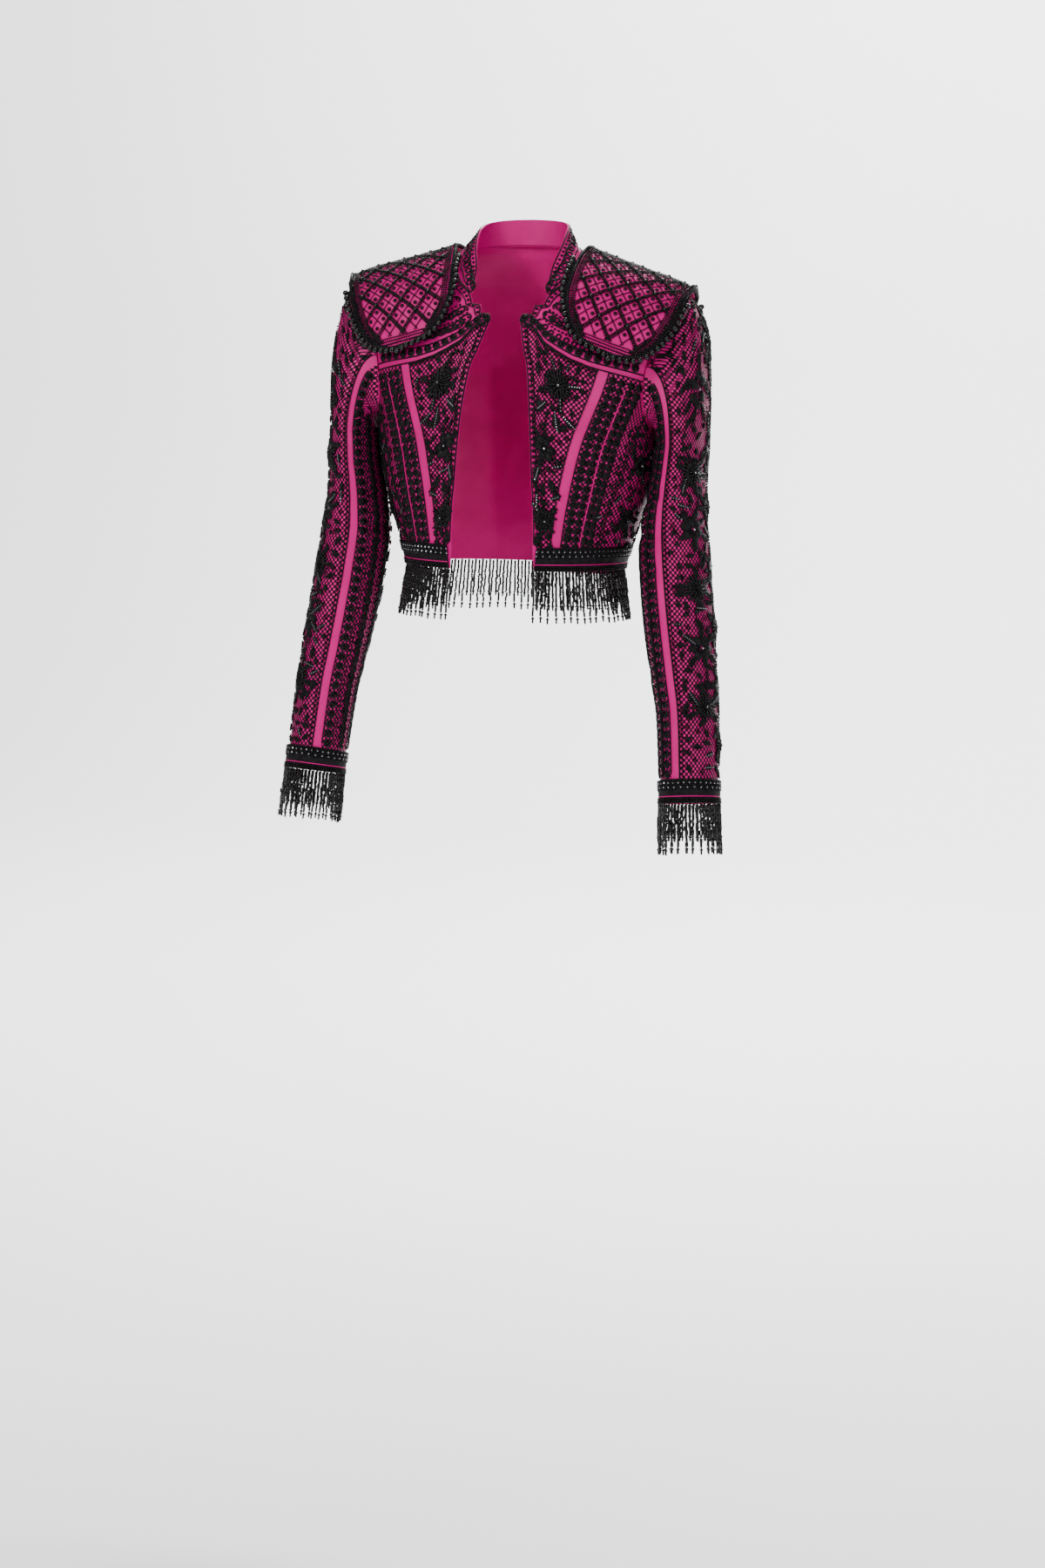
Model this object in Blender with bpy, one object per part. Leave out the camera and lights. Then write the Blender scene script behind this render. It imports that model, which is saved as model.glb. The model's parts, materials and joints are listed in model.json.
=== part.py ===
"""Matador jacket (chaquetilla): open, cropped, worn form, standing hollow on its own walls.

World frame in metres, +Z up, jacket facing -Y, the wearer's left on +X. The origin is the middle
of the neck at the height where the shoulders meet it. Sizes below are in millimetres.
Each panel is a cloth wall between named seams; the seams are shared, so panels meet 0.3 mm apart.
"""
import math

import bmesh
import bpy
import numpy as np

MM = 0.001
CLOTH = 2.0            # satin, interlining and embroidery together
SEAM_GAP = 0.3
ARMHOLE_GAP = 1.5      # sleeve head to body, whose facets differ
BRAID = 3.0            # beaded braid of the hem and cuff bands
BRAID_LIFT = 1.0       # between a panel and the braid on it
FRINGE = 5.0           # reach of the beaded strands, front to back
PAD = 5.0              # padded shoulder piece
ROPE_RADIUS = 4.0      # cord and pearls round the shoulder piece
ROPE_OUT = 4.8         # from the rim of the pad to the middle of the cord
ROPE_LIFT = 1.5

HEM_Z = -385.0
HEM_BAND_TOP = -357.0
HEM_FRINGE_DROP = 64.0
HEM_FRINGE_FLARE = 0.16
CUFF_BAND_HEIGHT = 27.0
CUFF_FRINGE_DROP = 62.0
FRINGE_GAP = 0.5

SIDES = {"left": 1, "right": -1}
SLEEVE_HANG = {"left": 3.0, "right": -5.0}   # how much lower or higher each cuff hangs
SHOULDER_DROP = 8.0    # the left shoulder is worn lower, from DROP_START to DROP_END off the centre
DROP_START, DROP_END = 60.0, 210.0

PINK = (0.62, 0.012, 0.20)
BLACK = (0.006, 0.006, 0.007)

# Level sections of the body: height, half width at the side, depth to the front and to the back.
TORSO = {
    "z":     (-385, -346, -320, -292, -260, -205, -151, -119, -84, -66, -45, -34, -25, -17, -8, 0, 4, 8, 12),
    "half":  (135, 146.5, 155, 164, 171, 177, 188, 196, 203.5, 205, 203, 188, 155, 125, 95, 74, 70, 66, 62),
    "front": (124, 124, 123, 122, 121, 117, 106, 93, 74, 65, 53, 45, 36, 28, 20, 12, 9, 7, 5),
    "back":  (95, 94, 95, 97, 101, 107, 108, 104, 98, 92, 84, 78, 74, 70, 66, 64, 62, 55, 50),
}
# The same for the outer face of the padded shoulder pieces.
SHOULDER = {
    "z":     (-140, -119, -84, -60, -48, -41, -37, -30, -24, -15, -7, 2, 8, 10),
    "half":  (252, 251, 250, 246, 238, 228, 217, 205, 188, 155, 125, 95, 80, 76),
    "front": (107, 100, 84, 73, 67, 63, 60, 55, 50, 42, 34, 24, 12, 8),
    "back":  (120, 116, 108, 100, 96, 94, 92, 89, 86, 80, 76, 66, 50, 44),
}
SHOULDER_BOW = 1.6

# Seams: half breadth from the centre line against height.
FRONT_EDGE = {"z": (-385, -361, -318, -278, -242, -207, -163, -136, -119, -84),
              "x": (53, 51.5, 50.5, 47.5, 45.5, 43, 38.5, 34, 28, 18.5)}
STRIPE_SEAM = {"z": (-385, -348, -318, -290, -255, -225, -193, -163, -140),
               "x": (70, 73, 76, 80, 86.4, 93.4, 104, 113.5, 119)}
BAND_SEAM = {"z": (-385, -355, -320, -286, -253, -228, -205, -180),
             "x": (117, 121.6, 128, 139, 149, 155, 163, 172)}
BACK_SEAM = {"z": (-385, -320, -260, -205, -160, -140),
             "x": (58, 66, 84, 108, 140, 160)}
YOKE_LINE = {"x": (18, 37, 52, 68, 85, 107, 119), "z": (-84, -93, -111, -121, -130, -137.5, -140)}
BACK_YOKE_LINE = {"x": (168, 120, 70, 30, 0), "z": (-150, -128, -112, -104, -102)}
# The stepped neck corner, and the even line that the yoke's rows start from behind it.
STEPS = {"x": (18, 19, 20, 32, 32.5, 33, 45, 46, 50), "z": (-84, -81, -78, -77.4, -72, -67, -66.4, -60, -53)}
STEPS_BACKING = {"x": (18, 20.6, 22.6, 25.7, 28.3, 31.4, 36.6, 42.8, 50),
                 "z": (-84, -81.5, -79.5, -76.5, -74, -71, -66, -60, -53)}

# Collar: its seam on the body and its free edge, from the front tip to the centre back.
COLLAR_SEAM = {"x": (50, 59, 70, 77, 76.8, 76, 75), "z": (-53, -45, -32, -17, -11, -6, -1)}
NECK_BACK = {"x": (75, 70, 62, 44, 22, 0), "z": (-1, 2, 4.5, 6.8, 8, 8.5)}
COLLAR_EDGE = {
    "x": (46, 46.5, 47, 52, 54, 55, 55.5, 54.5, 50, 36, 18, 0),
    "y": (-57, -50, -37, -24, -16, -8, 4, 14, 28, 44, 52, 55),
    "z": (-51, -40, -22, -1, 9, 17, 26, 30, 34, 37.5, 39, 39.5),
}

# Armhole: an oval on the body, measured as an angle either side of the side line.
ARMHOLE_MID_Z = -119.5
ARMHOLE_HALF_HEIGHT = 85.5
ARMHOLE_HALF_ANGLE = 29.0
ARMHOLE_FULLNESS = 0.6   # below 1 the oval is rounder at its top and bottom
UNDERARM, YOKE_END, BAND_END, ARMHOLE_TOP = 0.0, 69.0, 39.0, 180.0

# Arm axis and sections: height, axis, half width across and half depth front to back.
SLEEVE = {
    "z":     (-225, -260, -292, -320, -348, -400, -440, -500, -544, -600, -653, -720),
    "x":     (208, 206, 203.5, 202.5, 203.5, 209, 214.5, 224, 231, 236, 240, 244),
    "y":     (-2, -6, -9, -12, -14, -20, -25, -33, -39, -48, -57, -65),
    "half":  (29, 31, 34.5, 38, 41.5, 42, 41.5, 39, 36.5, 35.5, 35, 36),
    "depth": (57, 56, 53, 50, 47, 45, 43.5, 40, 38, 37, 36.5, 38),
}
SLEEVE_TOP_Z = -225.0
CUFF_Z = -653.0
CAP_REACH = 0.75       # how far the sleeve head stands out before it turns down
CAP_FALL = 1.0
SLEEVE_SEAMS = (82.0, 285.0)   # ring angles: 0 towards the body, 90 front, 180 outside, 270 back
CAP_ROWS = 5
ARM_ROWS = 8
UPPER_COLUMNS, UNDER_COLUMNS = 13, 8

# Shoulder piece outline: drop from the crest against the inner and outer edge.
PAD_OUTLINE = {"drop": (0, 7, 32, 62, 85, 99, 108),
               "inner": (88, 84, 79, 76.5, 82, 93, 112),
               "outer": (214, 211, 203, 191, 178, 163, 147)}
PAD_ROWS = 7
PAD_COLUMNS = 6
RIM_POINTS = 28
CUFF_STEP = 18.0         # degrees between a cuff band's columns
SEAM_ROWS = 10


def smooth(xs, ys, x):
    """Read a table at x with a monotone cubic, so that no bump appears between its rows."""
    xs, ys = np.asarray(xs, float), np.asarray(ys, float)
    if xs[0] > xs[-1]:
        xs, ys = xs[::-1], ys[::-1]
    steps = np.diff(xs)
    slopes = np.diff(ys) / steps
    ends = np.concatenate([[slopes[0]], slopes, [slopes[-1]]])
    before, after = ends[:-1], ends[1:]
    same = before * after > 0
    tangents = np.where(same, 2 * before * after / np.where(same, before + after, 1), 0)
    x = np.clip(x, xs[0], xs[-1])
    i = np.clip(np.searchsorted(xs, x) - 1, 0, len(steps) - 1)
    t = (x - xs[i]) / steps[i]
    return ((1 + 2 * t) * (1 - t) ** 2 * ys[i] + t * (1 - t) ** 2 * steps[i] * tangents[i]
            + t * t * (3 - 2 * t) * ys[i + 1] + t * t * (t - 1) * steps[i] * tangents[i + 1])


def body_point(angle, z, table=TORSO, bow=2.0):
    """Point of a level section; angle 0 is the centre front, 90 the side and 180 the centre back."""
    across = math.sin(math.radians(angle))
    half = smooth(table["z"], table["half"], z)
    depth = smooth(table["z"], table["front" if angle <= 90 else "back"], z)
    inward = math.sqrt(max(0.0, 1 - abs(across) ** bow))
    return np.array([half * across, -depth * inward if angle <= 90 else depth * inward, z])


def facing(point_at, u, v, du=0.4, dv=0.4):
    """Unit normal of point_at(u, v), from points either side."""
    along_u = point_at(u + du, v) - point_at(u - du, v)
    along_v = point_at(u, v + dv) - point_at(u, v - dv)
    normal = np.cross(along_u, along_v)
    return normal / np.linalg.norm(normal)


def angle_at(x, z):
    """Section angle of the front point that lies x from the centre line."""
    return math.degrees(math.asin(min(1.0, x / smooth(TORSO["z"], TORSO["half"], z))))


def resample(points, count):
    """Spread count points evenly along a run of (angle, z) points."""
    points = np.asarray(points, float)
    solid = np.array([body_point(a, z) for a, z in points])
    run = np.concatenate([[0], np.cumsum(np.linalg.norm(np.diff(solid, axis=0), axis=1))])
    spots = np.linspace(0, run[-1], count)
    return np.array([[np.interp(s, run, points[:, k]) for k in (0, 1)] for s in spots])


def level_seam(table, bottom, top, count, behind=False):
    """A seam that a height table gives, as (angle, z) points."""
    levels = np.linspace(bottom, top, count)
    angles = [angle_at(smooth(table["z"], table["x"], z), z) for z in levels]
    return np.array([[180 - a if behind else a, z] for a, z in zip(angles, levels)])


def listed_seam(table, behind=False):
    """A seam whose table rows are its own points."""
    angles = [angle_at(x, z) for x, z in zip(table["x"], table["z"])]
    return np.array([[180 - a if behind else a, z] for a, z in zip(angles, table["z"])])


def armhole(start, end, count):
    """Part of the armhole oval; positive angles are in front, negative behind."""
    return np.array([armhole_spot(turn) for turn in np.linspace(start, end, count)])


def armhole_spot(turn):
    """(angle, z) of one turn of the armhole oval, from 0 at the underarm to 180 at the top."""
    sine = math.sin(math.radians(turn))
    swing = math.copysign(abs(sine) ** ARMHOLE_FULLNESS, sine) if abs(sine) > 1e-9 else 0.0
    return (90 - ARMHOLE_HALF_ANGLE * swing,
            ARMHOLE_MID_Z - ARMHOLE_HALF_HEIGHT * math.cos(math.radians(turn)))


def straight(start, end, count):
    """Evenly spaced points between two (angle, z) points."""
    return np.linspace(start, end, count)


def chain(*runs):
    """Join runs that share their end points."""
    return np.concatenate([runs[0]] + [run[1:] for run in runs[1:]])


def coons(left, right, bottom, top):
    """Grid of (angle, z) between four edges; left and right run upwards, the others left to right."""
    rows, columns = len(left), len(bottom)
    grid = np.zeros((rows, columns, 2))
    for r in range(rows):
        t = r / (rows - 1)
        for c in range(columns):
            s = c / (columns - 1)
            corners = ((1 - s) * (1 - t) * left[0] + s * (1 - t) * right[0]
                       + (1 - s) * t * left[-1] + s * t * right[-1])
            grid[r, c] = ((1 - s) * left[r] + s * right[r]
                          + (1 - t) * bottom[c] + t * top[c] - corners)
    return grid


def draw_in(points, gap=SEAM_GAP / 2):
    """Move a grid's four edges towards its middle by half a seam gap."""
    points = points.copy()
    for edge, neighbour in ((0, 1), (-1, -2)):
        for axis in (0, 1):
            rim = points[edge] if axis == 0 else points[:, edge]
            inside = points[neighbour] if axis == 0 else points[:, neighbour]
            step = inside - rim
            length = np.linalg.norm(step, axis=-1, keepdims=True)
            rim += step / length * gap
    return points


def finish_mesh(name, bm, colour, roughness, metallic=0.0):
    """Turn a bmesh in millimetres into an object in metres with its own material."""
    bmesh.ops.recalc_face_normals(bm, faces=bm.faces)
    for vert in bm.verts:
        vert.co *= MM
    mesh = bpy.data.meshes.new(name)
    bm.to_mesh(mesh)
    bm.free()
    mesh.shade_smooth()
    mesh.set_sharp_from_angle(angle=math.radians(50))
    obj = bpy.data.objects.new(name, mesh)
    bpy.context.collection.objects.link(obj)
    obj.data.materials.append(make_material(name, colour, roughness, metallic))
    return obj


def make_material(name, colour, roughness, metallic):
    """A plain Principled material."""
    material = bpy.data.materials.new(name)
    material.use_nodes = True
    shader = material.node_tree.nodes["Principled BSDF"]
    shader.inputs["Base Color"].default_value = (*colour, 1)
    shader.inputs["Roughness"].default_value = roughness
    shader.inputs["Metallic"].default_value = metallic
    return material


def wall(name, outer, inner, colour=PINK, roughness=0.35, closed=False):
    """Closed wall between two grids of points; closed joins the first and last columns."""
    rows, columns = outer.shape[:2]
    bm = bmesh.new()
    skins = [[[bm.verts.new(p) for p in row] for row in skin] for skin in (outer, inner)]
    across = range(columns if closed else columns - 1)
    for r in range(rows - 1):
        for c in across:
            d = (c + 1) % columns
            for skin in skins:
                bm.faces.new((skin[r][c], skin[r][d], skin[r + 1][d], skin[r + 1][c]))
    for r in (0, rows - 1):
        for c in across:
            d = (c + 1) % columns
            bm.faces.new((skins[0][r][c], skins[0][r][d], skins[1][r][d], skins[1][r][c]))
    if not closed:
        for c in (0, columns - 1):
            for r in range(rows - 1):
                bm.faces.new((skins[0][r][c], skins[0][r + 1][c], skins[1][r + 1][c], skins[1][r][c]))
    return finish_mesh(name, bm, colour, roughness)


def worn(points, side):
    """The same points on the wearer's left or right, with the left shoulder a little lower."""
    placed = points * np.array([side, 1, 1])
    if side > 0:
        share = np.clip((placed[..., 0] - DROP_START) / (DROP_END - DROP_START), 0, 1)
        placed[..., 2] -= SHOULDER_DROP * share * share * (3 - 2 * share)
    return placed


def panel_points(grid, depth, table=TORSO, bow=2.0):
    """Points of a panel grid, moved out of the surface by depth (inwards when negative)."""
    def point_at(angle, z):
        return body_point(angle, z, table, bow)
    shaped = np.zeros(grid.shape[:2] + (3,))
    for r, row in enumerate(grid):
        for c, (angle, z) in enumerate(row):
            safe = min(max(angle, 0.5), 179.5)
            normal = facing(point_at, safe, z)
            if angle >= 179.9:
                normal[0] = 0.0
            shaped[r, c] = point_at(angle, z) + normal * depth
    return shaped


def body_seams():
    """Every seam line of one half of the body."""
    band_top = armhole(BAND_END, BAND_END, 1)[0][1]
    back_top = armhole(-BAND_END, -BAND_END, 1)[0]
    rows = SEAM_ROWS
    seams = {
        "front_edge": level_seam(FRONT_EDGE, HEM_Z, FRONT_EDGE["z"][-1], rows),
        "stripe": level_seam(STRIPE_SEAM, HEM_Z, STRIPE_SEAM["z"][-1], rows),
        "band": level_seam(BAND_SEAM, HEM_Z, band_top, rows),
        "side": straight([90, HEM_Z], armhole(0, 0, 1)[0], rows),
        "back": level_seam(BACK_SEAM, HEM_Z, back_top[1], rows, behind=True),
        "centre_back": straight([180, HEM_Z], [180, BACK_YOKE_LINE["z"][-1]], rows),
        "yoke_line": resample(listed_seam(YOKE_LINE), 7),
    }
    seams["band"][-1] = armhole(BAND_END, BAND_END, 1)[0]
    seams["back"][-1] = back_top
    seams["mitre"] = straight(seams["yoke_line"][-1], armhole(YOKE_END, YOKE_END, 1)[0], 4)
    back_line = listed_seam(BACK_YOKE_LINE, behind=True)
    back_line[0] = armhole(-YOKE_END, -YOKE_END, 1)[0]
    seams["back_yoke_line"] = resample(back_line, 7)
    shoulder_end = listed_seam(COLLAR_SEAM)[-1]
    shoulder_end[0] = 90
    seams["shoulder"] = resample([[90, z] for z in np.linspace(ARMHOLE_MID_Z + ARMHOLE_HALF_HEIGHT,
                                                               shoulder_end[1], 30)], 10)
    collar_front = listed_seam(COLLAR_SEAM)
    collar_front[-1] = shoulder_end
    collar_back = listed_seam(NECK_BACK, behind=True)
    collar_back[0] = shoulder_end
    seams["collar_front"], seams["collar_back"] = resample(collar_front, 6), resample(collar_back, 7)
    seams["steps"] = listed_seam(STEPS)
    return seams


def make_body(seams):
    """Front, yoke, side and back panels, a wall each; the hem's angles are returned, front to back."""
    hems = {"front": straight(seams["front_edge"][0], seams["stripe"][0], 7),
            "side_front": straight(seams["stripe"][0], seams["band"][0], 6),
            "side": straight(seams["band"][0], seams["side"][0], 5),
            "side_back": straight(seams["side"][0], seams["back"][0], 8),
            "back": straight(seams["back"][0], seams["centre_back"][0], 9)}
    yoke_foot = chain(seams["yoke_line"], seams["mitre"])
    back_rim = chain(armhole(-YOKE_END, -ARMHOLE_TOP, 6), seams["shoulder"])
    paired = {
        "front": coons(seams["front_edge"], seams["stripe"], hems["front"], seams["yoke_line"]),
        "side_front": coons(seams["stripe"], seams["band"], hems["side_front"],
                            chain(seams["mitre"], armhole(YOKE_END, BAND_END, 3))),
        "side": coons(seams["band"], seams["side"], hems["side"], armhole(BAND_END, UNDERARM, 5)),
        "side_back": coons(seams["side"], seams["back"], hems["side_back"],
                           armhole(UNDERARM, -BAND_END, 8)),
        "yoke": yoke_grid(seams, yoke_foot),
    }
    centre_line = straight(seams["centre_back"][-1], seams["collar_back"][-1], len(back_rim))
    whole = {
        "back": coons(seams["back"], seams["centre_back"], hems["back"],
                      chain(armhole(-BAND_END, -YOKE_END, 3), seams["back_yoke_line"])),
        "back_yoke": coons(eased(back_rim), centre_line, seams["back_yoke_line"],
                           seams["collar_back"]),
    }
    whole["back_yoke"][:, 0] = back_rim
    for side_name, side in SIDES.items():
        for piece, grid in paired.items():
            outer, inner = panel_points(grid, 0), panel_points(grid, -CLOTH)
            wall(f"{piece}_{side_name}", draw_in(worn(outer, side)), draw_in(worn(inner, side)))
    for piece, grid in whole.items():
        wall(piece, draw_in(both_halves(panel_points(grid, 0))),
             draw_in(both_halves(panel_points(grid, -CLOTH))))
    return chain(*hems.values())


def eased(run, passes=8):
    """The same run with its corners cut, so that a panel's rows behind them stay even."""
    run = run.copy()
    for _ in range(passes):
        run[1:-1] = (run[:-2] + 2 * run[1:-1] + run[2:]) / 4
    return run


def yoke_grid(seams, foot):
    """The front yoke; only its first column follows the steps, so that its rows stay even."""
    steps = seams["steps"]
    even = chain(listed_seam(STEPS_BACKING), seams["collar_front"])
    shoulder = resample(seams["shoulder"][::-1], len(foot))
    grid = coons(even, armhole(YOKE_END, ARMHOLE_TOP, len(even)), foot, shoulder)
    grid[:len(steps), 0] = steps
    return grid


def both_halves(half):
    """A grid whose last column is the centre line, with its mirror image added."""
    return np.concatenate([worn(half, 1), worn(half, -1)[:, -2::-1]], axis=1)


def make_collar(seams):
    """The stand collar, one strip from front tip to front tip."""
    run = chain(seams["collar_front"], seams["collar_back"])
    seam = np.array([body_point(a, z) for a, z in run])
    edge = np.column_stack([COLLAR_EDGE[k] for k in "xyz"]).astype(float)
    rows = [seam + (edge - seam) * t for t in (0, 0.33, 0.67, 1)]
    outer = both_halves(np.array(rows))
    inner = outer - grid_normals(outer) * CLOTH
    wall("collar", draw_in(outer, SEAM_GAP), draw_in(inner, SEAM_GAP))


def grid_normals(points, closed=False):
    """Unit normals of a grid of points, to the outside when columns run from right front to left front."""
    if closed:
        across = np.roll(points, -1, axis=1) - np.roll(points, 1, axis=1)
    else:
        across = np.gradient(points, axis=1)
    up = np.gradient(points, axis=0)
    normal = np.cross(across, up)
    return normal / np.linalg.norm(normal, axis=-1, keepdims=True)


def sleeve_centre(z, side_name):
    """Axis point of the arm at a table height, with this side's hang."""
    hang = SLEEVE_HANG[side_name] * (SLEEVE_TOP_Z - z) / (SLEEVE_TOP_Z - CUFF_Z)
    return np.array([smooth(SLEEVE["z"], SLEEVE["x"], z), smooth(SLEEVE["z"], SLEEVE["y"], z), z - hang])


def sleeve_ring_point(turn, z, side_name, lift=0.0):
    """Point of an arm section square to the arm's axis; lift moves it out."""
    step = 4.0
    lower = min(z + step, SLEEVE_TOP_Z)
    axis = sleeve_centre(z - step, side_name) - sleeve_centre(lower, side_name)
    axis /= np.linalg.norm(axis)
    settle = min(1.0, (SLEEVE_TOP_Z - z) / 90.0)
    across = np.array([1.0, 0.0, -axis[0] / axis[2] * settle])
    across /= np.linalg.norm(across)
    deep = np.array([0.0, 1.0, -axis[1] / axis[2] * settle])
    deep /= np.linalg.norm(deep)
    half = smooth(SLEEVE["z"], SLEEVE["half"], z) + lift
    depth = smooth(SLEEVE["z"], SLEEVE["depth"], z) + lift
    t = math.radians(turn)
    return sleeve_centre(z, side_name) - across * half * math.cos(t) - deep * depth * math.sin(t)


def sleeve_cap_point(turn, w, side_name):
    """Point between the armhole (w = 0) and the first arm section (w = 1)."""
    start = body_point(*armhole_spot(turn)) + np.array([ARMHOLE_GAP, 0, 0])
    end = sleeve_ring_point(turn, SLEEVE_TOP_Z, side_name)
    span = np.linalg.norm(end - start)
    out = np.array([CAP_REACH * span, 0, 0])
    down = np.array([0, 0, -CAP_FALL * span])
    return ((2 * w ** 3 - 3 * w ** 2 + 1) * start + (w ** 3 - 2 * w ** 2 + w) * out
            + (3 * w ** 2 - 2 * w ** 3) * end + (w ** 3 - w ** 2) * down)


def sleeve_point(turn, v, side_name):
    """Point of the sleeve: v from 0 at the armhole to 1 at the arm, then to 2 at the cuff."""
    if v <= 1:
        return sleeve_cap_point(turn, v, side_name)
    return sleeve_ring_point(turn, SLEEVE_TOP_Z + (CUFF_Z - SLEEVE_TOP_Z) * (v - 1), side_name)


def make_sleeve(side_name):
    """Upper and under sleeve between their two seams."""
    side = SIDES[side_name]
    front, behind = SLEEVE_SEAMS
    spans = {"sleeve_upper": np.linspace(front, behind, UPPER_COLUMNS),
             "sleeve_under": np.linspace(behind - 360, front, UNDER_COLUMNS)}
    rows = np.concatenate([np.linspace(0, 1, CAP_ROWS + 1)[:-1], np.linspace(1, 2, ARM_ROWS)])
    for piece, turns in spans.items():
        outer = np.array([[sleeve_point(t, v, side_name) for t in turns] for v in rows])
        normals = np.array([[sleeve_normal(t, v, side_name) for t in turns] for v in rows])
        inner = outer - normals * CLOTH
        wall(f"{piece}_{side_name}", draw_in(worn(outer, side)), draw_in(worn(inner, side)))


def sleeve_normal(turn, v, side_name):
    """Outward unit normal of the sleeve."""
    low, high = max(v - 0.02, 0.0), min(v + 0.02, 2.0)
    along = sleeve_point(turn, high, side_name) - sleeve_point(turn, low, side_name)
    round_arm = sleeve_point(turn + 1, v, side_name) - sleeve_point(turn - 1, v, side_name)
    normal = np.cross(along, round_arm)
    return normal / np.linalg.norm(normal)


def make_cuff(side_name):
    """Beaded band round the end of the sleeve and the strands that hang from it."""
    side = SIDES[side_name]
    turns = np.arange(0, 360, CUFF_STEP)
    band = [CUFF_Z + CUFF_BAND_HEIGHT, CUFF_Z]
    strands = [CUFF_Z - FRINGE_GAP, CUFF_Z - CUFF_FRINGE_DROP]
    pieces = {"cuff_band": (band, BRAID_LIFT, BRAID), "cuff_fringe": (strands, 0.0, FRINGE - 1)}
    for piece, (levels, lift, thickness) in pieces.items():
        skins = [np.array([[sleeve_ring_point(t, z, side_name, lift + extra) for t in turns] for z in levels])
                 for extra in (thickness, 0.0)]
        wall(f"{piece}_{side_name}", *[worn(skin, side) for skin in skins], BLACK, 0.2, closed=True)


def hem_point(angle, z, lift):
    """Point of the band or fringe over the body's hem; below the hem it flares a little at the sides."""
    base = body_point(angle, max(z, HEM_Z))
    normal = facing(body_point, min(max(angle, 0.5), 179.5), max(z, HEM_Z + 1))
    normal[2] = 0
    normal /= np.linalg.norm(normal)
    if angle >= 179.9:
        normal[0] = 0.0
    flare = max(0.0, HEM_Z - z) * HEM_FRINGE_FLARE * abs(normal[0])
    return np.array([base[0], base[1], z]) + normal * (lift + flare)


def make_hem(angles):
    """Beaded band round the hem and its hanging strands, from front edge to front edge."""
    band = [HEM_Z, HEM_BAND_TOP]
    strands = [HEM_Z - HEM_FRINGE_DROP, HEM_Z - FRINGE_GAP]
    for name, levels, lift, thickness in (("hem_band", band, BRAID_LIFT, BRAID),
                                          ("hem_fringe", strands, -CLOTH, FRINGE)):
        skins = [both_halves(np.array([[hem_point(a, z, lift + extra) for a, _ in angles] for z in levels]))
                 for extra in (thickness, 0.0)]
        wall(name, *skins, BLACK, 0.2)


def crest_height(x):
    """Height of the shoulder piece's crest at a breadth."""
    return smooth(SHOULDER["half"], SHOULDER["z"], x)


def shoulder_point(s, arch):
    """Point of the shoulder piece: s from neck to arm, arch from -1 at the front rim to 1 behind."""
    drop = PAD_OUTLINE["drop"][-1] * arch * arch
    inner = smooth(PAD_OUTLINE["drop"], PAD_OUTLINE["inner"], drop)
    outer = smooth(PAD_OUTLINE["drop"], PAD_OUTLINE["outer"], drop)
    x = inner + (outer - inner) * s
    z = crest_height(x) - drop
    half = max(smooth(SHOULDER["z"], SHOULDER["half"], z), x)
    depth = smooth(SHOULDER["z"], SHOULDER["front" if arch < 0 else "back"], z)
    reach = depth * math.sqrt(max(0.0, 1 - (x / half) ** SHOULDER_BOW))
    return np.array([x, math.copysign(reach, arch), z])


def shoulder_normal(s, arch):
    """Outward unit normal of the shoulder piece."""
    across = shoulder_point(min(s + 0.02, 1), arch) - shoulder_point(max(s - 0.02, 0), arch)
    over = shoulder_point(s, min(arch + 0.04, 1)) - shoulder_point(s, max(arch - 0.04, -1))
    normal = np.cross(across, over)
    return normal / np.linalg.norm(normal)


def shoulder_rim(count):
    """Points round the pad's rim, moved out to the middle of its cord."""
    quarter = count // 4
    arches = -np.cos(np.linspace(0, math.pi, 2 * quarter + 1))
    path = ([(0.0, a) for a in arches[::-1]] + [(s, -1.0) for s in np.linspace(0, 1, 5)[1:-1]]
            + [(1.0, a) for a in arches] + [(s, 1.0) for s in np.linspace(1, 0, 5)[1:-1]])
    points = np.array([shoulder_point(s, a) for s, a in path])
    normals = np.array([shoulder_normal(s, a) for s, a in path])
    ahead = np.roll(points, -1, axis=0) - np.roll(points, 1, axis=0)
    sideways = np.cross(ahead, normals)
    sideways /= np.linalg.norm(sideways, axis=1, keepdims=True)
    return points + sideways * ROPE_OUT + normals * ROPE_LIFT


def make_shoulder_piece(side_name):
    """Padded shoulder piece over the sleeve head, with the cord and pearls round its rim."""
    side = SIDES[side_name]
    spots = [(s, a) for s in np.linspace(0, 1, PAD_COLUMNS + 1) for a in np.linspace(-1, 1, 2 * PAD_ROWS + 1)]
    shape = (PAD_COLUMNS + 1, 2 * PAD_ROWS + 1, 3)
    outer = np.array([shoulder_point(s, a) for s, a in spots]).reshape(shape)
    normals = np.array([shoulder_normal(s, a) for s, a in spots]).reshape(shape)
    wall(f"shoulder_pad_{side_name}", worn(outer, side), worn(outer - normals * PAD, side))
    curve = bpy.data.curves.new(f"shoulder_cord_{side_name}", "CURVE")
    curve.dimensions = "3D"
    curve.bevel_depth = ROPE_RADIUS * MM
    curve.bevel_resolution = 1
    rim = worn(shoulder_rim(RIM_POINTS), side) * MM
    spline = curve.splines.new("POLY")
    spline.points.add(len(rim) - 1)
    for point, place in zip(spline.points, rim):
        point.co = (*place, 1)
    spline.use_cyclic_u = True
    cord = bpy.data.objects.new(curve.name, curve)
    bpy.context.collection.objects.link(cord)
    curve.materials.append(make_material(curve.name, BLACK, 0.2, 0.0))


def main():
    """Clear the scene and build every piece."""
    for obj in list(bpy.data.objects):
        bpy.data.objects.remove(obj)
    seams = body_seams()
    hem_angles = make_body(seams)
    make_collar(seams)
    make_hem(hem_angles)
    for side_name in SIDES:
        make_sleeve(side_name)
        make_cuff(side_name)
        make_shoulder_piece(side_name)


main()
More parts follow.
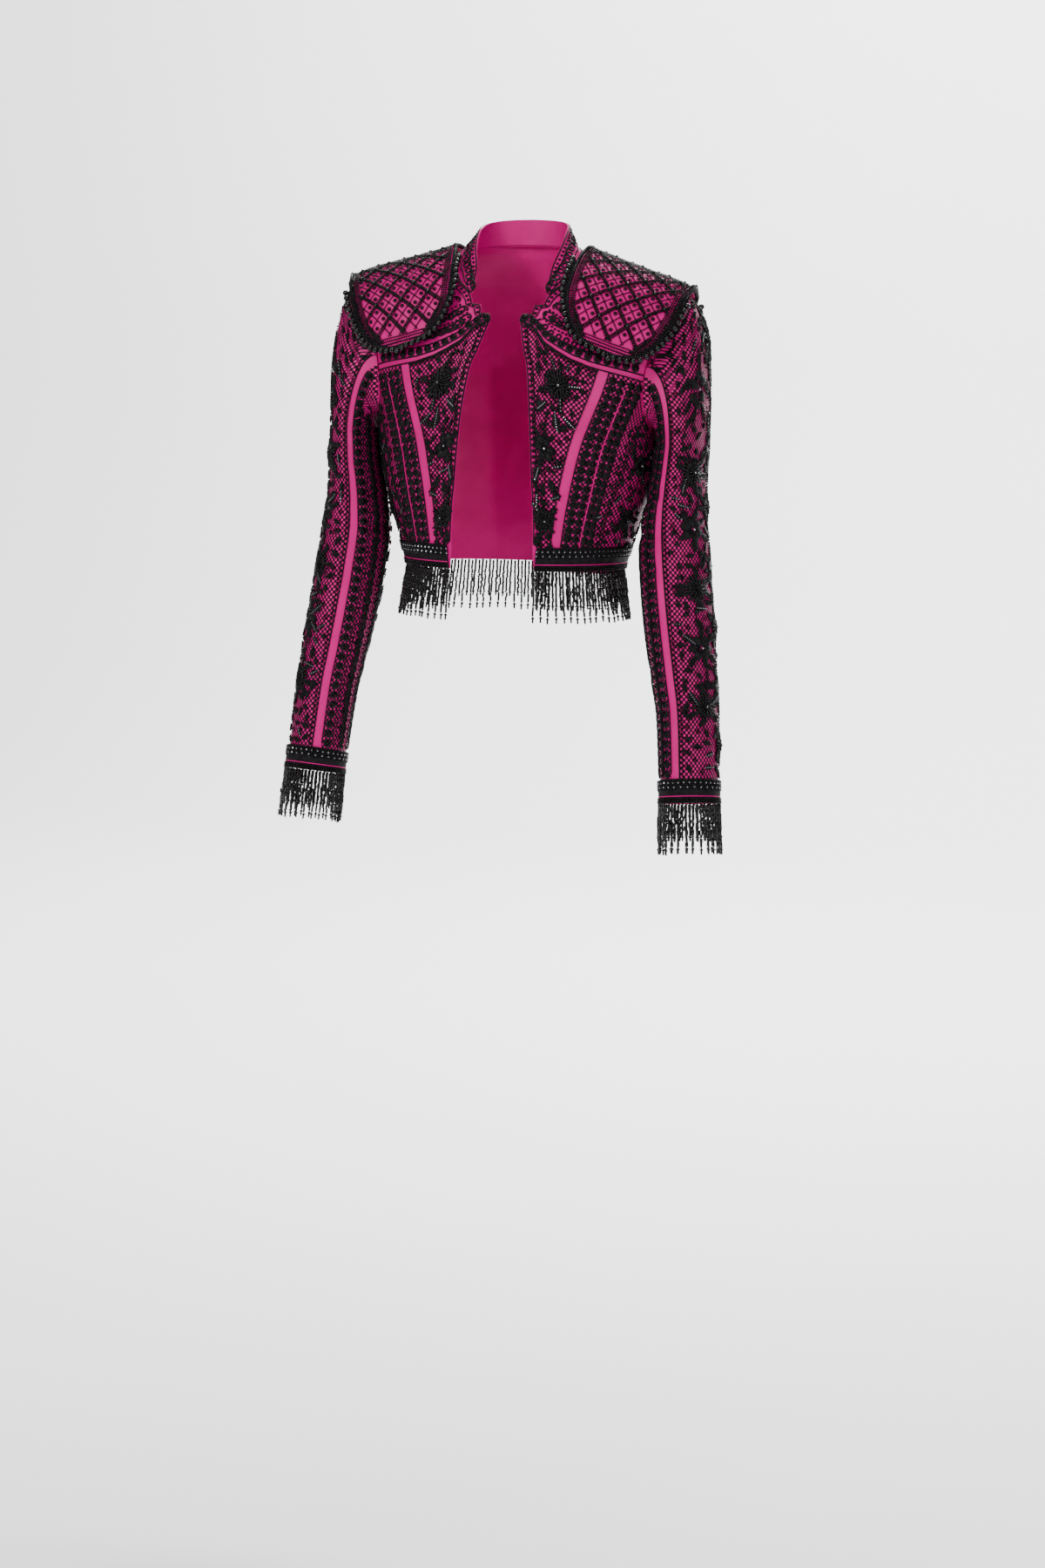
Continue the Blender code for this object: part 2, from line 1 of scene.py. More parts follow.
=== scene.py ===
"""Looks of the matador jacket: satin panels, soutache, beadwork, padded shoulder pieces and fringe.

The body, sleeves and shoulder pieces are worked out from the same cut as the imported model, so that
cloth and beadwork lie on it. Sizes are in millimetres until a mesh is made, which is in metres.
"""
from __future__ import annotations

import json
import logging
import math
from dataclasses import dataclass, field
from enum import Enum
from typing import Callable, Sequence

import bmesh
import bpy
import numpy as np
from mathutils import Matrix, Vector

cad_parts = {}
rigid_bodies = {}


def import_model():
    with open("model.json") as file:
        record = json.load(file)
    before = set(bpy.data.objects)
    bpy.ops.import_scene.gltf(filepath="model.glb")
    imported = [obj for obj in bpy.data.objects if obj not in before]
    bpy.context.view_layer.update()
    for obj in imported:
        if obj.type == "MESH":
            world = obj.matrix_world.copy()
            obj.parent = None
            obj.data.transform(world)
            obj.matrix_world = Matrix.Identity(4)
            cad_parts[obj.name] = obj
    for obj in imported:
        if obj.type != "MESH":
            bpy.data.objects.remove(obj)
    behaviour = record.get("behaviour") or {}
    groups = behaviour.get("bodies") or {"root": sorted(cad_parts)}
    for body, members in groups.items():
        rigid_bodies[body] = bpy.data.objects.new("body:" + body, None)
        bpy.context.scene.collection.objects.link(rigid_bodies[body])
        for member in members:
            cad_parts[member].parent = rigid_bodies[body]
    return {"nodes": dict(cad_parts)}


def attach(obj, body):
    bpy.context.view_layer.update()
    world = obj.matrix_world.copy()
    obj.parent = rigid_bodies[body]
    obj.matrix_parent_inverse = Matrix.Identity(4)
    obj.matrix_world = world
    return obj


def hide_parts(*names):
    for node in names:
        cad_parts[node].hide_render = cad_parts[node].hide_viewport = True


log = logging.getLogger("jacket")
MM = 0.001
SEED = 7
Array = np.ndarray
Path = tuple[Array, Array]


# ---------------------------------------------------------------- the cut

@dataclass(frozen=True)
class Table:
    """A short table of the cut, read smoothly between its rows."""

    rows: dict[str, tuple[float, ...]]
    key: str = "z"

    def read(self, column: str, at: Array | float) -> Array:
        """Value of a column.

        Args:
            column: The column's name.
            at: Where on the key column to read it.

        Returns:
            The column's value there, by a monotone cubic.
        """
        xs, ys = np.asarray(self.rows[self.key], float), np.asarray(self.rows[column], float)
        if xs[0] > xs[-1]:
            xs, ys = xs[::-1], ys[::-1]
        steps = np.diff(xs)
        slopes = np.diff(ys) / steps
        ends = np.concatenate([[slopes[0]], slopes, [slopes[-1]]])
        before, after = ends[:-1], ends[1:]
        same = before * after > 0
        tangents = np.where(same, 2 * before * after / np.where(same, before + after, 1), 0)
        x = np.clip(np.asarray(at, float), xs[0], xs[-1])
        i = np.clip(np.searchsorted(xs, x) - 1, 0, len(steps) - 1)
        t = (x - xs[i]) / steps[i]
        return ((1 + 2 * t) * (1 - t) ** 2 * ys[i] + t * (1 - t) ** 2 * steps[i] * tangents[i]
                + t * t * (3 - 2 * t) * ys[i + 1] + t * t * (t - 1) * steps[i] * tangents[i + 1])

    def turned(self, key: str) -> "Table":
        """The same table, read by another column."""
        return Table(self.rows, key)


class Side(Enum):
    """The wearer's left or right."""

    LEFT = 1
    RIGHT = -1

    @property
    def word(self) -> str:
        """The side's name in a node."""
        return self.name.lower()


TORSO = Table({
    "z":     (-385, -346, -320, -292, -260, -205, -151, -119, -84, -66, -45, -34, -25, -17, -8, 0, 4, 8, 12),
    "half":  (135, 146.5, 155, 164, 171, 177, 188, 196, 203.5, 205, 203, 188, 155, 125, 95, 74, 70, 66, 62),
    "front": (124, 124, 123, 122, 121, 117, 106, 93, 74, 65, 53, 45, 36, 28, 20, 12, 9, 7, 5),
    "back":  (95, 94, 95, 97, 101, 107, 108, 104, 98, 92, 84, 78, 74, 70, 66, 64, 62, 55, 50)})
SHOULDER = Table({
    "z":     (-140, -119, -84, -60, -48, -41, -37, -30, -24, -15, -7, 2, 8, 10),
    "half":  (252, 251, 250, 246, 238, 228, 217, 205, 188, 155, 125, 95, 80, 76),
    "front": (107, 100, 84, 73, 67, 63, 60, 55, 50, 42, 34, 24, 12, 8),
    "back":  (120, 116, 108, 100, 96, 94, 92, 89, 86, 80, 76, 66, 50, 44)})
SLEEVE = Table({
    "z":     (-225, -260, -292, -320, -348, -400, -440, -500, -544, -600, -653, -720),
    "x":     (208, 206, 203.5, 202.5, 203.5, 209, 214.5, 224, 231, 236, 240, 244),
    "y":     (-2, -6, -9, -12, -14, -20, -25, -33, -39, -48, -57, -65),
    "half":  (29, 31, 34.5, 38, 41.5, 42, 41.5, 39, 36.5, 35.5, 35, 36),
    "depth": (57, 56, 53, 50, 47, 45, 43.5, 40, 38, 37, 36.5, 38)})
FRONT_EDGE = Table({"z": (-385, -361, -318, -278, -242, -207, -163, -136, -119, -84),
                    "x": (53, 51.5, 50.5, 47.5, 45.5, 43, 38.5, 34, 28, 18.5)})
STRIPE_SEAM = Table({"z": (-385, -348, -318, -290, -255, -225, -193, -163, -140),
                     "x": (70, 73, 76, 80, 86.4, 93.4, 104, 113.5, 119)})
BAND_SEAM = Table({"z": (-385, -355, -320, -286, -253, -228, -205, -180),
                   "x": (117, 121.6, 128, 139, 149, 155, 163, 172)})
BACK_SEAM = Table({"z": (-385, -320, -260, -205, -160, -140), "x": (58, 66, 84, 108, 140, 160)})
YOKE_LINE = Table({"x": (18, 37, 52, 68, 85, 107, 119), "z": (-84, -93, -111, -121, -130, -137.5, -140)})
BACK_YOKE_LINE = Table({"x": (168, 120, 70, 30, 0), "z": (-150, -128, -112, -104, -102)})
STEPS = Table({"x": (18, 19, 20, 32, 32.5, 33, 45, 46, 50),
               "z": (-84, -81, -78, -77.4, -72, -67, -66.4, -60, -53)})
STEPS_BACKING = Table({"x": (18, 20.6, 22.6, 25.7, 28.3, 31.4, 36.6, 42.8, 50),
                       "z": (-84, -81.5, -79.5, -76.5, -74, -71, -66, -60, -53)})
COLLAR_SEAM = Table({"x": (50, 59, 70, 77, 76.8, 76, 75), "z": (-53, -45, -32, -17, -11, -6, -1)})
NECK_BACK = Table({"x": (75, 70, 62, 44, 22, 0), "z": (-1, 2, 4.5, 6.8, 8, 8.5)})
COLLAR_EDGE = Table({
    "x": (46, 46.5, 47, 52, 54, 55, 55.5, 54.5, 50, 36, 18, 0),
    "y": (-57, -50, -37, -24, -16, -8, 4, 14, 28, 44, 52, 55),
    "z": (-51, -40, -22, -1, 9, 17, 26, 30, 34, 37.5, 39, 39.5)})
PAD_OUTLINE = Table({"drop": (0, 7, 32, 62, 85, 99, 108),
                     "inner": (88, 84, 79, 76.5, 82, 93, 112),
                     "outer": (214, 211, 203, 191, 178, 163, 147)}, key="drop")


@dataclass(frozen=True)
class Cut:
    """Sizes of the cut that are not in a table, in millimetres and degrees."""

    cloth: float = 2.0
    hem_z: float = -385.0
    hem_band_top: float = -357.0
    hem_fringe_drop: float = 64.0
    hem_fringe_flare: float = 0.16
    cuff_z: float = -653.0
    cuff_band_height: float = 27.0
    cuff_fringe_drop: float = 62.0
    braid_lift: float = 1.0
    braid: float = 3.0
    sleeve_top_z: float = -225.0
    cap_reach: float = 0.75
    armhole_gap: float = 1.5
    armhole_mid_z: float = -119.5
    armhole_half_height: float = 85.5
    armhole_half_angle: float = 29.0
    armhole_fullness: float = 0.6
    yoke_end: float = 69.0
    band_end: float = 39.0
    sleeve_front_seam: float = 82.0
    sleeve_back_seam: float = 285.0
    shoulder_drop: float = 8.0
    drop_start: float = 60.0
    drop_end: float = 210.0
    shoulder_bow: float = 1.6
    hang_left: float = 3.0
    hang_right: float = -5.0

    def hang(self, side: Side) -> float:
        """How much lower this cuff hangs."""
        return self.hang_left if side is Side.LEFT else self.hang_right


CUT = Cut()


def unit(vectors: Array) -> Array:
    """The same vectors at length one."""
    return vectors / np.maximum(np.linalg.norm(vectors, axis=-1, keepdims=True), 1e-12)


class Body:
    """The worn form of the jacket: level sections, seams and the grids of its panels."""

    def point(self, angle: Array, z: Array) -> Array:
        """Points of the body.

        Args:
            angle: Section angle, 0 at the centre front, 90 at the side, 180 at the centre back.
            z: Height.

        Returns:
            Points, one for each angle and height.
        """
        angle, z = np.broadcast_arrays(np.asarray(angle, float), np.asarray(z, float))
        across, inward = np.sin(np.radians(angle)), np.cos(np.radians(angle))
        depth = np.where(angle <= 90, TORSO.read("front", z), TORSO.read("back", z))
        return np.stack([TORSO.read("half", z) * across, -depth * inward, z], -1)

    def angle_at(self, x: Array, z: Array) -> Array:
        """Section angle of the front point that lies x from the centre line."""
        return np.degrees(np.arcsin(np.minimum(1.0, np.asarray(x, float) / TORSO.read("half", z))))

    def level_seam(self, table: Table, bottom: float, top: float, count: int, behind: bool = False) -> Array:
        """A seam given by a height table, as (angle, z) rows."""
        z = np.linspace(bottom, top, count)
        angle = self.angle_at(table.read("x", z), z)
        return np.stack([180 - angle if behind else angle, z], -1)

    def listed_seam(self, table: Table, behind: bool = False) -> Array:
        """A seam whose points are its table's rows."""
        x, z = np.array(table.rows["x"], float), np.array(table.rows["z"], float)
        angle = self.angle_at(x, z)
        return np.stack([180 - angle if behind else angle, z], -1)

    def armhole(self, turn: Array) -> Array:
        """(angle, z) of turns of the armhole oval, 0 at the underarm and 180 at the top."""
        sine = np.sin(np.radians(turn))
        swing = np.sign(sine) * np.abs(sine) ** CUT.armhole_fullness
        return np.stack([90 - CUT.armhole_half_angle * swing,
                         CUT.armhole_mid_z - CUT.armhole_half_height * np.cos(np.radians(turn))], -1)

    def resample(self, run: Array, count: int) -> Array:
        """Spread count points evenly along a run of (angle, z) rows."""
        run = np.asarray(run, float)
        length = run_length(self.point(run[:, 0], run[:, 1]))
        return spread(run, length, np.linspace(0, length[-1], count))


def run_length(points: Array) -> Array:
    """Length from the first point to each of them."""
    return np.concatenate([[0], np.cumsum(np.linalg.norm(np.diff(points, axis=0), axis=1))])


def spread(rows: Array, run: Array, spots: Array) -> Array:
    """Rows read at spots of their run."""
    return np.stack([np.interp(spots, run, rows[:, i]) for i in range(rows.shape[1])], -1)


def linked(name: str, data: bpy.types.ID) -> bpy.types.Object:
    """A new object in the scene."""
    obj = bpy.data.objects.new(name, data)
    bpy.context.scene.collection.objects.link(obj)
    return obj


def straight(start: Sequence[float], end: Sequence[float], count: int) -> Array:
    """Evenly spaced rows between two."""
    return np.linspace(start, end, count)


def chain(*runs: Array) -> Array:
    """Join runs that share their end rows."""
    return np.concatenate([runs[0]] + [run[1:] for run in runs[1:]])


def coons(left: Array, right: Array, bottom: Array, top: Array) -> Array:
    """Grid between four edges; left and right run upwards, the others left to right."""
    t = np.linspace(0, 1, len(left))[:, None, None]
    s = np.linspace(0, 1, len(bottom))[None, :, None]
    corners = ((1 - s) * (1 - t) * left[0] + s * (1 - t) * right[0]
               + (1 - s) * t * left[-1] + s * t * right[-1])
    return (1 - s) * left[:, None] + s * right[:, None] + (1 - t) * bottom[None] + t * top[None] - corners


def worn(points: Array, side: Side) -> Array:
    """The same points on the wearer's left or right, with the left shoulder a little lower."""
    placed = points * np.array([side.value, 1, 1])
    if side is Side.LEFT:
        share = np.clip((placed[..., 0] - CUT.drop_start) / (CUT.drop_end - CUT.drop_start), 0, 1)
        placed[..., 2] -= CUT.shoulder_drop * share * share * (3 - 2 * share)
    return placed


def grid_normals(points: Array, flip: bool = False) -> Array:
    """Unit normals of a grid, to the side of columns x rows; flip turns them."""
    normal = unit(np.cross(np.gradient(points, axis=1), np.gradient(points, axis=0)))
    return -normal if flip else normal


@dataclass
class Patch:
    """A stretch of cloth as a fine grid, on which creases are pressed and beadwork is laid."""

    name: str
    points: Array
    flip: bool = False
    normals: Array = field(init=False)
    length: float = field(init=False)
    widths: Array = field(init=False)

    def __post_init__(self) -> None:
        """Measure it."""
        self.measure()

    def measure(self) -> None:
        """Work out the normals, the mean length along t and the breadths along s."""
        self.normals = grid_normals(self.points, self.flip)
        self.length = float(np.linalg.norm(np.diff(self.points, axis=0), axis=-1).sum(0).mean())
        self.widths = np.linalg.norm(np.diff(self.points, axis=1), axis=-1).sum(1)

    def width(self, t: Array | float) -> Array:
        """Breadth along s at t."""
        return np.interp(t, np.linspace(0, 1, len(self.widths)), self.widths)

    def _mix(self, grid: Array, s: Array, t: Array) -> Array:
        """Read a grid between its points."""
        rows, columns = grid.shape[:2]
        r = np.clip(np.asarray(t, float), 0, 1) * (rows - 1)
        c = np.clip(np.asarray(s, float), 0, 1) * (columns - 1)
        r0, c0 = np.minimum(r.astype(int), rows - 2), np.minimum(c.astype(int), columns - 2)
        fr, fc = (r - r0)[..., None], (c - c0)[..., None]
        return ((grid[r0, c0] * (1 - fc) + grid[r0, c0 + 1] * fc) * (1 - fr)
                + (grid[r0 + 1, c0] * (1 - fc) + grid[r0 + 1, c0 + 1] * fc) * fr)

    def at(self, s: Array, t: Array, lift: Array | float = 0.0) -> tuple[Array, Array]:
        """Points and normals.

        Args:
            s: Places across, 0 to 1.
            t: Places along, 0 to 1.
            lift: Distance out of the cloth.

        Returns:
            The points, moved out, and their unit normals.
        """
        normal = unit(self._mix(self.normals, s, t))
        return self._mix(self.points, s, t) + normal * np.asarray(lift, float)[..., None], normal

    def near(self, s0: float, t0: float, u: Array, v: Array) -> tuple[Array, Array]:
        """(s, t) of offsets u across and v along, in millimetres, from a place."""
        t = t0 + np.asarray(v, float) / self.length
        return s0 + np.asarray(u, float) / self.width(np.clip(t, 0, 1)), t

    def beside(self, s: float, t: float, angle: float, reach: float) -> tuple[float, float]:
        """(s, t) of the place that lies at an angle and a distance from another."""
        a, b = self.near(s, t, np.array(math.cos(angle) * reach), np.array(math.sin(angle) * reach))
        return float(a), float(b)

    def plan(self) -> tuple[Array, Array]:
        """s and t of every grid point."""
        rows, columns = self.points.shape[:2]
        t, s = np.meshgrid(np.linspace(0, 1, rows), np.linspace(0, 1, columns), indexing="ij")
        return s, t

    def wall(self, thick: float) -> tuple[bpy.types.Mesh, int]:
        """A closed wall under the patch.

        Args:
            thick: Its thickness.

        Returns:
            The mesh, its outer faces first, and how many of those there are.
        """
        rows, columns = self.points.shape[:2]
        count = rows * columns
        inner = self.points - self.normals * thick
        verts = np.concatenate([self.points.reshape(-1, 3), inner.reshape(-1, 3)]) * MM
        index = np.arange(count).reshape(rows, columns)
        quads = np.stack([index[:-1, :-1], index[:-1, 1:], index[1:, 1:], index[1:, :-1]], -1).reshape(-1, 4)
        loop = np.concatenate([index[0, :-1], index[:-1, -1], index[-1, :0:-1], index[:0:-1, 0]])
        after = np.roll(loop, -1)
        rim = np.stack([after, loop, loop + count, after + count], -1)
        faces = np.concatenate([quads, quads[:, ::-1] + count, rim])
        mesh = bpy.data.meshes.new(self.name)
        mesh.from_pydata(verts.tolist(), [], (faces[:, ::-1] if self.flip else faces).tolist())
        return mesh, len(quads)

    def unwrap(self, mesh: bpy.types.Mesh, name: str, flat: Array) -> None:
        """Give a wall a UV map, the same on both faces, from distances at the grid points."""
        corners = np.empty(len(mesh.loops), int)
        mesh.loops.foreach_get("vertex_index", corners)
        places = flat.reshape(-1, 2) * MM
        mesh.uv_layers.new(name=name).data.foreach_set("uv", places[corners % len(places)].ravel())

    def press(self, s0: float, t0: float, angle: float, length: float, width: float, depth: float) -> None:
        """Press a soft trough (or raise a ridge, when depth is negative) into the cloth."""
        rows, columns = self.points.shape[:2]
        s, t = self.plan()
        u = (s - s0) * self.width(t)
        v = (t - t0) * self.length
        turn = math.radians(angle)
        along = u * math.cos(turn) + v * math.sin(turn)
        off = -u * math.sin(turn) + v * math.cos(turn)
        soft = np.exp(-(off / width) ** 2) * np.exp(-(along / (length / 2)) ** 4)
        rim = np.clip(np.minimum.reduce([s * columns, (1 - s) * columns, t * rows, (1 - t) * rows]) / 4, 0, 1)
        self.points = self.points - self.normals * (depth * soft * rim)[..., None]
        self.measure()


# ---------------------------------------------------------------- the forms

class Seams:
    """Seam lines of one half of the body, as (angle, z) rows fine enough for a smooth shell."""

    ROWS = 61

    def __init__(self, body: Body) -> None:
        """Lay out every seam."""
        self.body = body
        arm = body.armhole
        n = self.ROWS
        self.front_edge = body.level_seam(FRONT_EDGE, CUT.hem_z, -84, n)
        self.stripe = body.level_seam(STRIPE_SEAM, CUT.hem_z, -140, n)
        self.band = body.level_seam(BAND_SEAM, CUT.hem_z, float(arm(np.array(CUT.band_end))[1]), n)
        self.band[-1] = arm(np.array(CUT.band_end))
        self.side = straight([90, CUT.hem_z], arm(np.array(0.0)), n)
        back_top = arm(np.array(-CUT.band_end))
        self.back = body.level_seam(BACK_SEAM, CUT.hem_z, float(back_top[1]), n, behind=True)
        self.back[-1] = back_top
        self.centre_back = straight([180, CUT.hem_z], [180, -102], n)
        self.yoke_line = body.resample(body.listed_seam(YOKE_LINE), 25)
        self.mitre = straight(self.yoke_line[-1], arm(np.array(CUT.yoke_end)), 10)
        back_line = body.listed_seam(BACK_YOKE_LINE, behind=True)
        back_line[0] = arm(np.array(-CUT.yoke_end))
        self.back_yoke_line = body.resample(back_line, 37)
        end = body.listed_seam(COLLAR_SEAM)[-1]
        end[0] = 90
        top = CUT.armhole_mid_z + CUT.armhole_half_height
        self.shoulder = np.stack([np.full(46, 90.0), np.linspace(top, end[1], 46)], -1)
        front = body.listed_seam(COLLAR_SEAM)
        front[-1] = end
        behind = body.listed_seam(NECK_BACK, behind=True)
        behind[0] = end
        self.collar_front, self.collar_back = body.resample(front, 31), body.resample(behind, 37)

    def hole(self, start: float, end: float, count: int) -> Array:
        """Part of the armhole oval."""
        return self.body.armhole(np.linspace(start, end, count))


class Tailor:
    """Turns the cut into patches of cloth, creases included."""

    def __init__(self) -> None:
        """Lay out the seams."""
        self.body = Body()
        self.seams = Seams(self.body)

    def _solid(self, grid: Array) -> Array:
        """Points of a grid of (angle, z)."""
        return self.body.point(grid[..., 0], grid[..., 1])

    def _halves(self, half: Array) -> Array:
        """A grid that ends on the centre line, with its mirror image added."""
        return np.concatenate([worn(half, Side.LEFT), worn(half, Side.RIGHT)[:, -2::-1]], axis=1)

    def panels(self, side: Side) -> dict[str, Patch]:
        """Front, yoke and side panels of one side."""
        m, hole = self.seams, self.seams.hole
        grids = {
            "front": coons(m.front_edge, m.stripe, straight(m.front_edge[0], m.stripe[0], 25), m.yoke_line),
            "side_front": coons(m.stripe, m.band, straight(m.stripe[0], m.band[0], 18),
                                chain(m.mitre, hole(CUT.yoke_end, CUT.band_end, 9))),
            "side": coons(m.band, m.side, straight(m.band[0], m.side[0], 17), hole(CUT.band_end, 0, 17)),
            "side_back": coons(m.side, m.back, straight(m.side[0], m.back[0], 25),
                               hole(0, -CUT.band_end, 25)),
            "yoke": self._yoke()}
        flip = side is Side.RIGHT
        return {name: Patch(f"{name}_{side.word}", worn(self._solid(grid), side), flip)
                for name, grid in grids.items()}

    def _yoke(self) -> Array:
        """The yoke's grid; its steps fade out within the first few columns."""
        m, body = self.seams, self.body
        spots = np.linspace(0, len(STEPS.rows["x"]) - 1, 33)

        def dense(table: Table) -> Array:
            """The table's rows, read at even steps of their number."""
            rows = body.listed_seam(table)
            return spread(rows, np.arange(len(rows)), spots)
        steps, backing = dense(STEPS), dense(STEPS_BACKING)
        even = chain(backing, m.collar_front)
        foot = chain(m.yoke_line, m.mitre)
        top = body.resample(m.shoulder[::-1], len(foot))
        grid = coons(even, m.hole(CUT.yoke_end, 180, len(even)), foot, top)
        fade = (1 - np.linspace(0, 1, len(foot))) ** 7
        grid[:len(steps)] += (steps - backing)[:, None] * fade[None, :, None]
        return grid

    def backs(self) -> dict[str, Patch]:
        """Back and back yoke, whole."""
        m, hole = self.seams, self.seams.hole
        back = coons(m.back, m.centre_back, straight(m.back[0], m.centre_back[0], 45),
                     chain(hole(-CUT.band_end, -CUT.yoke_end, 9), m.back_yoke_line))
        rim = chain(hole(-CUT.yoke_end, -180, 25), m.shoulder)
        eased = rim.copy()
        for _ in range(160):
            eased[1:-1] = (eased[:-2] + 2 * eased[1:-1] + eased[2:]) / 4
        centre = straight(m.centre_back[-1], m.collar_back[-1], len(rim))
        yoke = coons(eased, centre, m.back_yoke_line, m.collar_back)
        fade = (1 - np.linspace(0, 1, yoke.shape[1])) ** 6
        yoke += (rim - eased)[:, None] * fade[None, :, None]
        return {"back": Patch("back", self._halves(self._solid(back))),
                "back_yoke": Patch("back_yoke", self._halves(self._solid(yoke)))}

    def collar(self) -> Patch:
        """The stand collar, from the left tip round the back to the right tip."""
        m = self.seams
        run = chain(m.collar_front, m.collar_back)
        seam = self._solid(run)
        spots = np.linspace(0, len(COLLAR_EDGE.rows["x"]) - 1, len(run))
        rows = dict(COLLAR_EDGE.rows, n=tuple(range(len(COLLAR_EDGE.rows["x"]))))
        edge = np.stack([Table(rows, "n").read(k, spots) for k in "xyz"], -1)
        rise = np.linspace(0, 1, 14)[:, None, None]
        return Patch("collar", self._halves(seam + (edge - seam) * rise))

    def _arm(self, turn: Array, z: Array, side: Side, lift: float = 0.0) -> Array:
        """Points of the arm sections square to the arm's axis."""
        def centre(level: Array) -> Array:
            """The axis at a height."""
            hang = CUT.hang(side) * (CUT.sleeve_top_z - level) / (CUT.sleeve_top_z - CUT.cuff_z)
            return np.stack([SLEEVE.read("x", level), SLEEVE.read("y", level), level - hang], -1)

        axis = unit(centre(z - 4) - centre(np.minimum(z + 4, CUT.sleeve_top_z)))
        settle = np.minimum(1.0, (CUT.sleeve_top_z - z) / 90.0)
        zero, one = np.zeros_like(z), np.ones_like(z)
        across = unit(np.stack([one, zero, -axis[..., 0] / axis[..., 2] * settle], -1))
        deep = unit(np.stack([zero, one, -axis[..., 1] / axis[..., 2] * settle], -1))
        t = np.radians(turn)
        half = (SLEEVE.read("half", z) + lift) * np.cos(t)
        depth = (SLEEVE.read("depth", z) + lift) * np.sin(t)
        return centre(z) - across * half[..., None] - deep * depth[..., None]

    def sleeve(self, side: Side) -> dict[str, Patch]:
        """Upper and under sleeve; t runs from the cuff to the armhole."""
        patches = {}
        front, behind = CUT.sleeve_front_seam, CUT.sleeve_back_seam
        for name, (a, b, count) in {"sleeve_upper": (front, behind, 61),
                                    "sleeve_under": (behind - 360, front, 49)}.items():
            v, turn = np.meshgrid(np.concatenate([np.linspace(2, 1, 96), np.linspace(1, 0, 30)[1:]]),
                                  np.linspace(a, b, count), indexing="ij")
            w = np.minimum(v, 1)[..., None]
            spot = self.body.armhole(turn)
            start = self.body.point(spot[..., 0], spot[..., 1]) + [CUT.armhole_gap, 0, 0]
            end = self._arm(turn, np.full_like(turn, CUT.sleeve_top_z), side)
            span = np.linalg.norm(end - start, axis=-1)[..., None]
            out, down = span * [CUT.cap_reach, 0, 0], span * [0, 0, -1.0]
            cap = ((2 * w ** 3 - 3 * w ** 2 + 1) * start + (w ** 3 - 2 * w ** 2 + w) * out
                   + (3 * w ** 2 - 2 * w ** 3) * end + (w ** 3 - w ** 2) * down)
            z = CUT.sleeve_top_z + (CUT.cuff_z - CUT.sleeve_top_z) * (np.maximum(v, 1) - 1)
            points = np.where(v[..., None] > 1, self._arm(turn, z, side), cap)
            patches[name] = Patch(f"{name}_{side.word}", worn(points, side), side is Side.RIGHT)
        return patches

    def cuff_ring(self, side: Side, turn: Array, z: Array, lift: float) -> Array:
        """Points round the end of the sleeve."""
        turn, z = np.broadcast_arrays(np.asarray(turn, float), np.asarray(z, float))
        return worn(self._arm(turn, z.copy(), side, lift), side)

    def hem_ring(self, angle: Array, z: Array, lift: float) -> Array:
        """Points over the body's hem; below it they flare a little at the sides.

        Args:
            angle: Section angles, negative on the wearer's right.
            z: Heights.
            lift: Distance out of the cloth.

        Returns:
            The points.
        """
        angle, z = np.broadcast_arrays(np.asarray(angle, float), np.asarray(z, float))
        turn, level = np.clip(np.abs(angle), 0.5, 179.5), np.maximum(z, CUT.hem_z)
        base = self.body.point(turn, level)
        near = np.maximum(z, CUT.hem_z + 1)

        def round_step(step: float) -> Array:
            """The body a step round."""
            return self.body.point(turn + step, near)

        normal = np.cross(round_step(0.4) - round_step(-0.4),
                          self.body.point(turn, near + 0.4) - self.body.point(turn, near - 0.4))
        normal[..., 2] = 0
        normal = unit(normal)
        flare = np.maximum(0, CUT.hem_z - z) * CUT.hem_fringe_flare * np.abs(normal[..., 0])
        points = np.stack([base[..., 0], base[..., 1], z], -1) + normal * (lift + flare)[..., None]
        points[..., 0] *= np.where(angle < 0, -1, 1)
        return points

    def shoulder_pad(self, side: Side) -> Patch:
        """Outer face of the padded shoulder piece: s from neck to arm, t from front to back."""
        arch, s = np.meshgrid(np.linspace(-1, 1, 97), np.linspace(0, 1, 45), indexing="ij")
        return Patch(f"shoulder_pad_{side.word}", worn(self.pad_point(s, arch), side), side is Side.RIGHT)

    def pad_point(self, s: Array, arch: Array) -> Array:
        """Points of the shoulder piece."""
        drop = PAD_OUTLINE.rows["drop"][-1] * arch * arch
        inner, outer = PAD_OUTLINE.read("inner", drop), PAD_OUTLINE.read("outer", drop)
        x = inner + (outer - inner) * s
        z = SHOULDER.turned("half").read("z", x) - drop
        half = np.maximum(SHOULDER.read("half", z), x)
        depth = np.where(arch < 0, SHOULDER.read("front", z), SHOULDER.read("back", z))
        reach = depth * np.sqrt(np.maximum(0.0, 1 - (x / half) ** CUT.shoulder_bow))
        return np.stack([x, np.copysign(reach, arch), z], -1)


# ---------------------------------------------------------------- finishes

